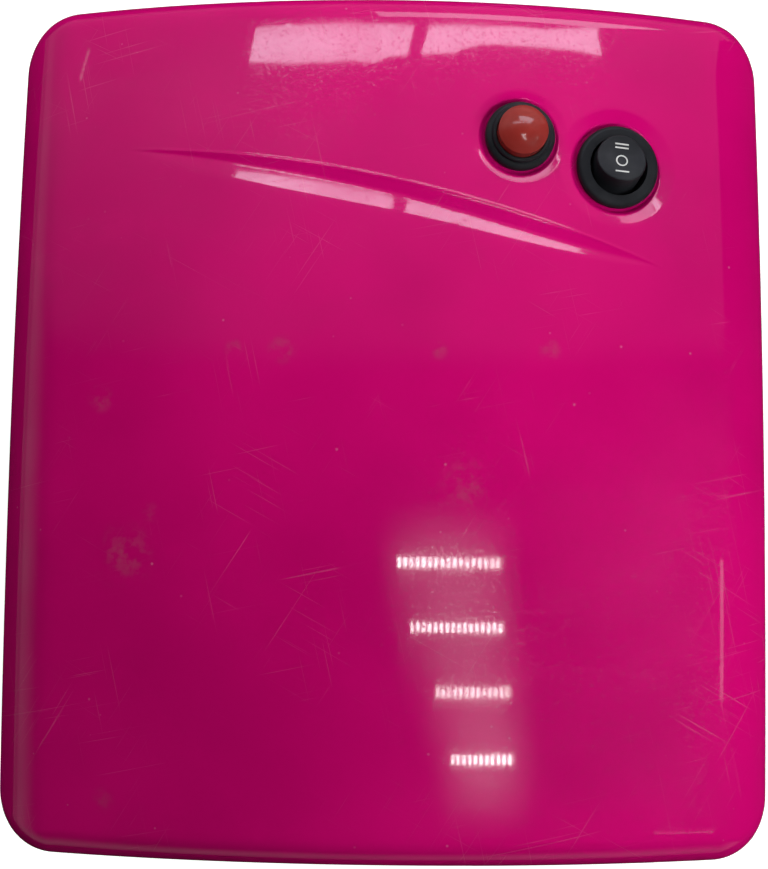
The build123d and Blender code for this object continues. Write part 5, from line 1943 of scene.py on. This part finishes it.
@dataclass(frozen=True)
class Finishes:
    """Finish of every material slot of the frame, and of the printed marks of the rocker."""

    cover: GlossyShell = GlossyShell(
        "Cover glossy pink", (0.55, 0.0008, 0.140), 1.0, 0.035,
        (((-40.3, 13.0, 96.0), 3.2), ((-27.5, 12.5, 97.0), 5.0), ((20.5, -22.0, 98.0), 9.0),
         ((-67.5, -41.0, 90.0), 11.0), ((-61.0, -30.0, 91.0), 4.2), ((-75.5, 0.0, 88.0), 5.0),
         ((-72.0, -104.0, 86.0), 5.0), ((42.0, 13.5, 95.0), 4.0), ((12.5, 13.0, 98.0), 4.0)))
    others: tuple[tuple[str, Finish], ...] = (
        ("base", MouldedPlastic("Base satin pink", (0.46, 0.002, 0.128), 0.30)),
        ("fascia", GlossyShell("Fascia glossy pink", (0.55, 0.0008, 0.140), 0.6, 0.05)),
        ("tray", MouldedPlastic("Tray white plastic", (0.72, 0.72, 0.71), 0.38)),
        ("mirror", Metal("Tray mirror sheet", (0.90, 0.91, 0.92), 0.06, (40.0, 300.0, 300.0), 0.000002)),
        ("reflector", Metal("Reflector bright sheet", (0.88, 0.89, 0.90), 0.16, (30.0, 700.0, 700.0),
                            0.000004)),
        ("chamber", MouldedPlastic("Chamber white plastic", (0.76, 0.76, 0.75), 0.42)),
        ("tube_glass", CoatedGlass("Tube coated glass", (0.80, 0.81, 0.84), (0.70, 0.71, 0.76))),
        ("tube_cap", MouldedPlastic("Tube cap white", (0.74, 0.74, 0.70), 0.34)),
        ("holder", MouldedPlastic("Lampholder white", (0.70, 0.70, 0.66), 0.36)),
        ("clip_steel", Metal("Clip spring steel", (0.62, 0.62, 0.64), 0.24)),
        ("rivet", Metal("Rivet aluminium", (0.72, 0.73, 0.75), 0.30, (300.0, 300.0, 300.0))),
        ("rubber", SoftRubber("Rubber black")),
        ("screw", Metal("Screw zinc", (0.60, 0.61, 0.62), 0.28, (500.0, 500.0, 500.0))),
        ("black", MouldedPlastic("Switch black plastic", (0.011, 0.012, 0.015), 0.38, 1400.0, 0.00001,
                                 shine=0.13)),
        ("red", MouldedPlastic("Button red plastic", (0.25, 0.022, 0.018), 0.09, 700.0, 0.000002)),
        ("brass", Metal("Contact brass", (0.72, 0.50, 0.20), 0.28)),
        ("spring", Metal("Spring steel wire", (0.56, 0.56, 0.57), 0.26)),
        ("board", CircuitLaminate("Circuit laminate")),
        ("ferrite", MouldedPlastic("Choke ferrite", (0.045, 0.044, 0.046), 0.55, 500.0, 0.00005)),
        ("capacitor", MouldedPlastic("Capacitor sleeve", (0.030, 0.042, 0.085), 0.30)),
        ("relay", MouldedPlastic("Relay blue", (0.030, 0.10, 0.30), 0.34)),
        ("glass", ClearGlass("Fuse glass")),
        ("wire", MouldedPlastic("Wire grey", (0.16, 0.16, 0.17), 0.42)),
    )
    marks: MouldedPlastic = MouldedPlastic("Mark print grey", (0.50, 0.50, 0.49), 0.5)


@dataclass(frozen=True)
class ReturnSpring:
    """Return spring of the push button, wound as a fixed helix below its seat on the housing."""

    radius: float = 2.4
    wire: float = 0.5
    turns: int = 4
    floor: float = -14.45
    length: float = 5.65
    travel: float = 2.5
    steps: int = 28
    sides: int = 10

    def build(self, form: CoverForm, finish: bpy.types.Material) -> bpy.types.Object:
        """Wind the spring below the button's seat.

        Args:
            form: Form of the cover that the button sits in.
            finish: Material of the wire.

        Returns:
            The spring.
        """
        seat = form.seats[0]
        basis = seat.basis(form)
        count = self.turns * self.steps
        rise = (self.length - self.wire) / count
        step = 2 * math.pi / self.steps
        points: list[Vector] = []
        for i in range(count + 1):
            out = Vector((math.cos(i * step), math.sin(i * step), 0))
            tangent = Vector((-out.y * self.radius * step, out.x * self.radius * step, rise)).normalized()
            centre = out * self.radius + Vector((0, 0, self.floor + self.wire / 2 + i * rise))
            up = tangent.cross(out)
            for j in range(self.sides):
                angle = 2 * math.pi * j / self.sides
                off = (out * math.cos(angle) + up * math.sin(angle)) * (self.wire / 2)
                points.append(basis @ (centre + off))
        around = [(j, (j + 1) % self.sides) for j in range(self.sides)]
        faces = [(near + j, near + k, near + self.sides + k, near + self.sides + j)
                 for near in range(0, count * self.sides, self.sides) for j, k in around]
        faces.append(tuple(range(self.sides))[::-1])
        faces.append(tuple(count * self.sides + j for j in range(self.sides)))
        spring = mesh_object("return_spring", np.array(points), faces)
        spring.data.shade_smooth()
        spring.data.materials.append(finish)
        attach(spring, Body.HOUSING.value)
        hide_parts("button_spring")
        tuple(seat.axis)
        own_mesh(spring)
        return spring


def dress(finishes: Finishes, cover_finish: bpy.types.Material) -> dict[str, bpy.types.Material]:
    """Give each piece of the frame the finish of its material slot.

    Args:
        finishes: The finishes.
        cover_finish: Material of the cover, made already.

    Returns:
        The material of each slot.
    """
    made = {"cover": cover_finish}
    made |= {slot: finish.build() for slot, finish in finishes.others}
    for name in frame["nodes"]:
        paint(name, made[SLOTS[name]])
        LOG.info("dressed %s as %s", name, SLOTS[name])
    return made


def main() -> None:
    """Build the scene round the frame."""
    scene = bpy.context.scene
    scene.view_settings.view_transform = "Standard"
    finishes = Finishes()
    cover = Cover()
    cover_finish = finishes.cover.build()
    made = dress(finishes, cover_finish)
    cover.build(cover_finish)
    LOG.info("built the cover")
    CoverPosts(cover).build(cover_finish)
    LOG.info("built the cover posts")
    PaddleMarks().build(cover.form, finishes.marks.build())
    LOG.info("built the paddle marks")
    ReturnSpring().build(cover.form, made["spring"])
    LOG.info("built the return spring")
    camera = PhotoCamera()
    camera.build()
    LOG.info("set up the camera")
    Studio(cover.form, camera.place).build()
    LOG.info("set up the studio")


if __name__ == "__main__":
    logging.basicConfig(level=logging.INFO)
    main()
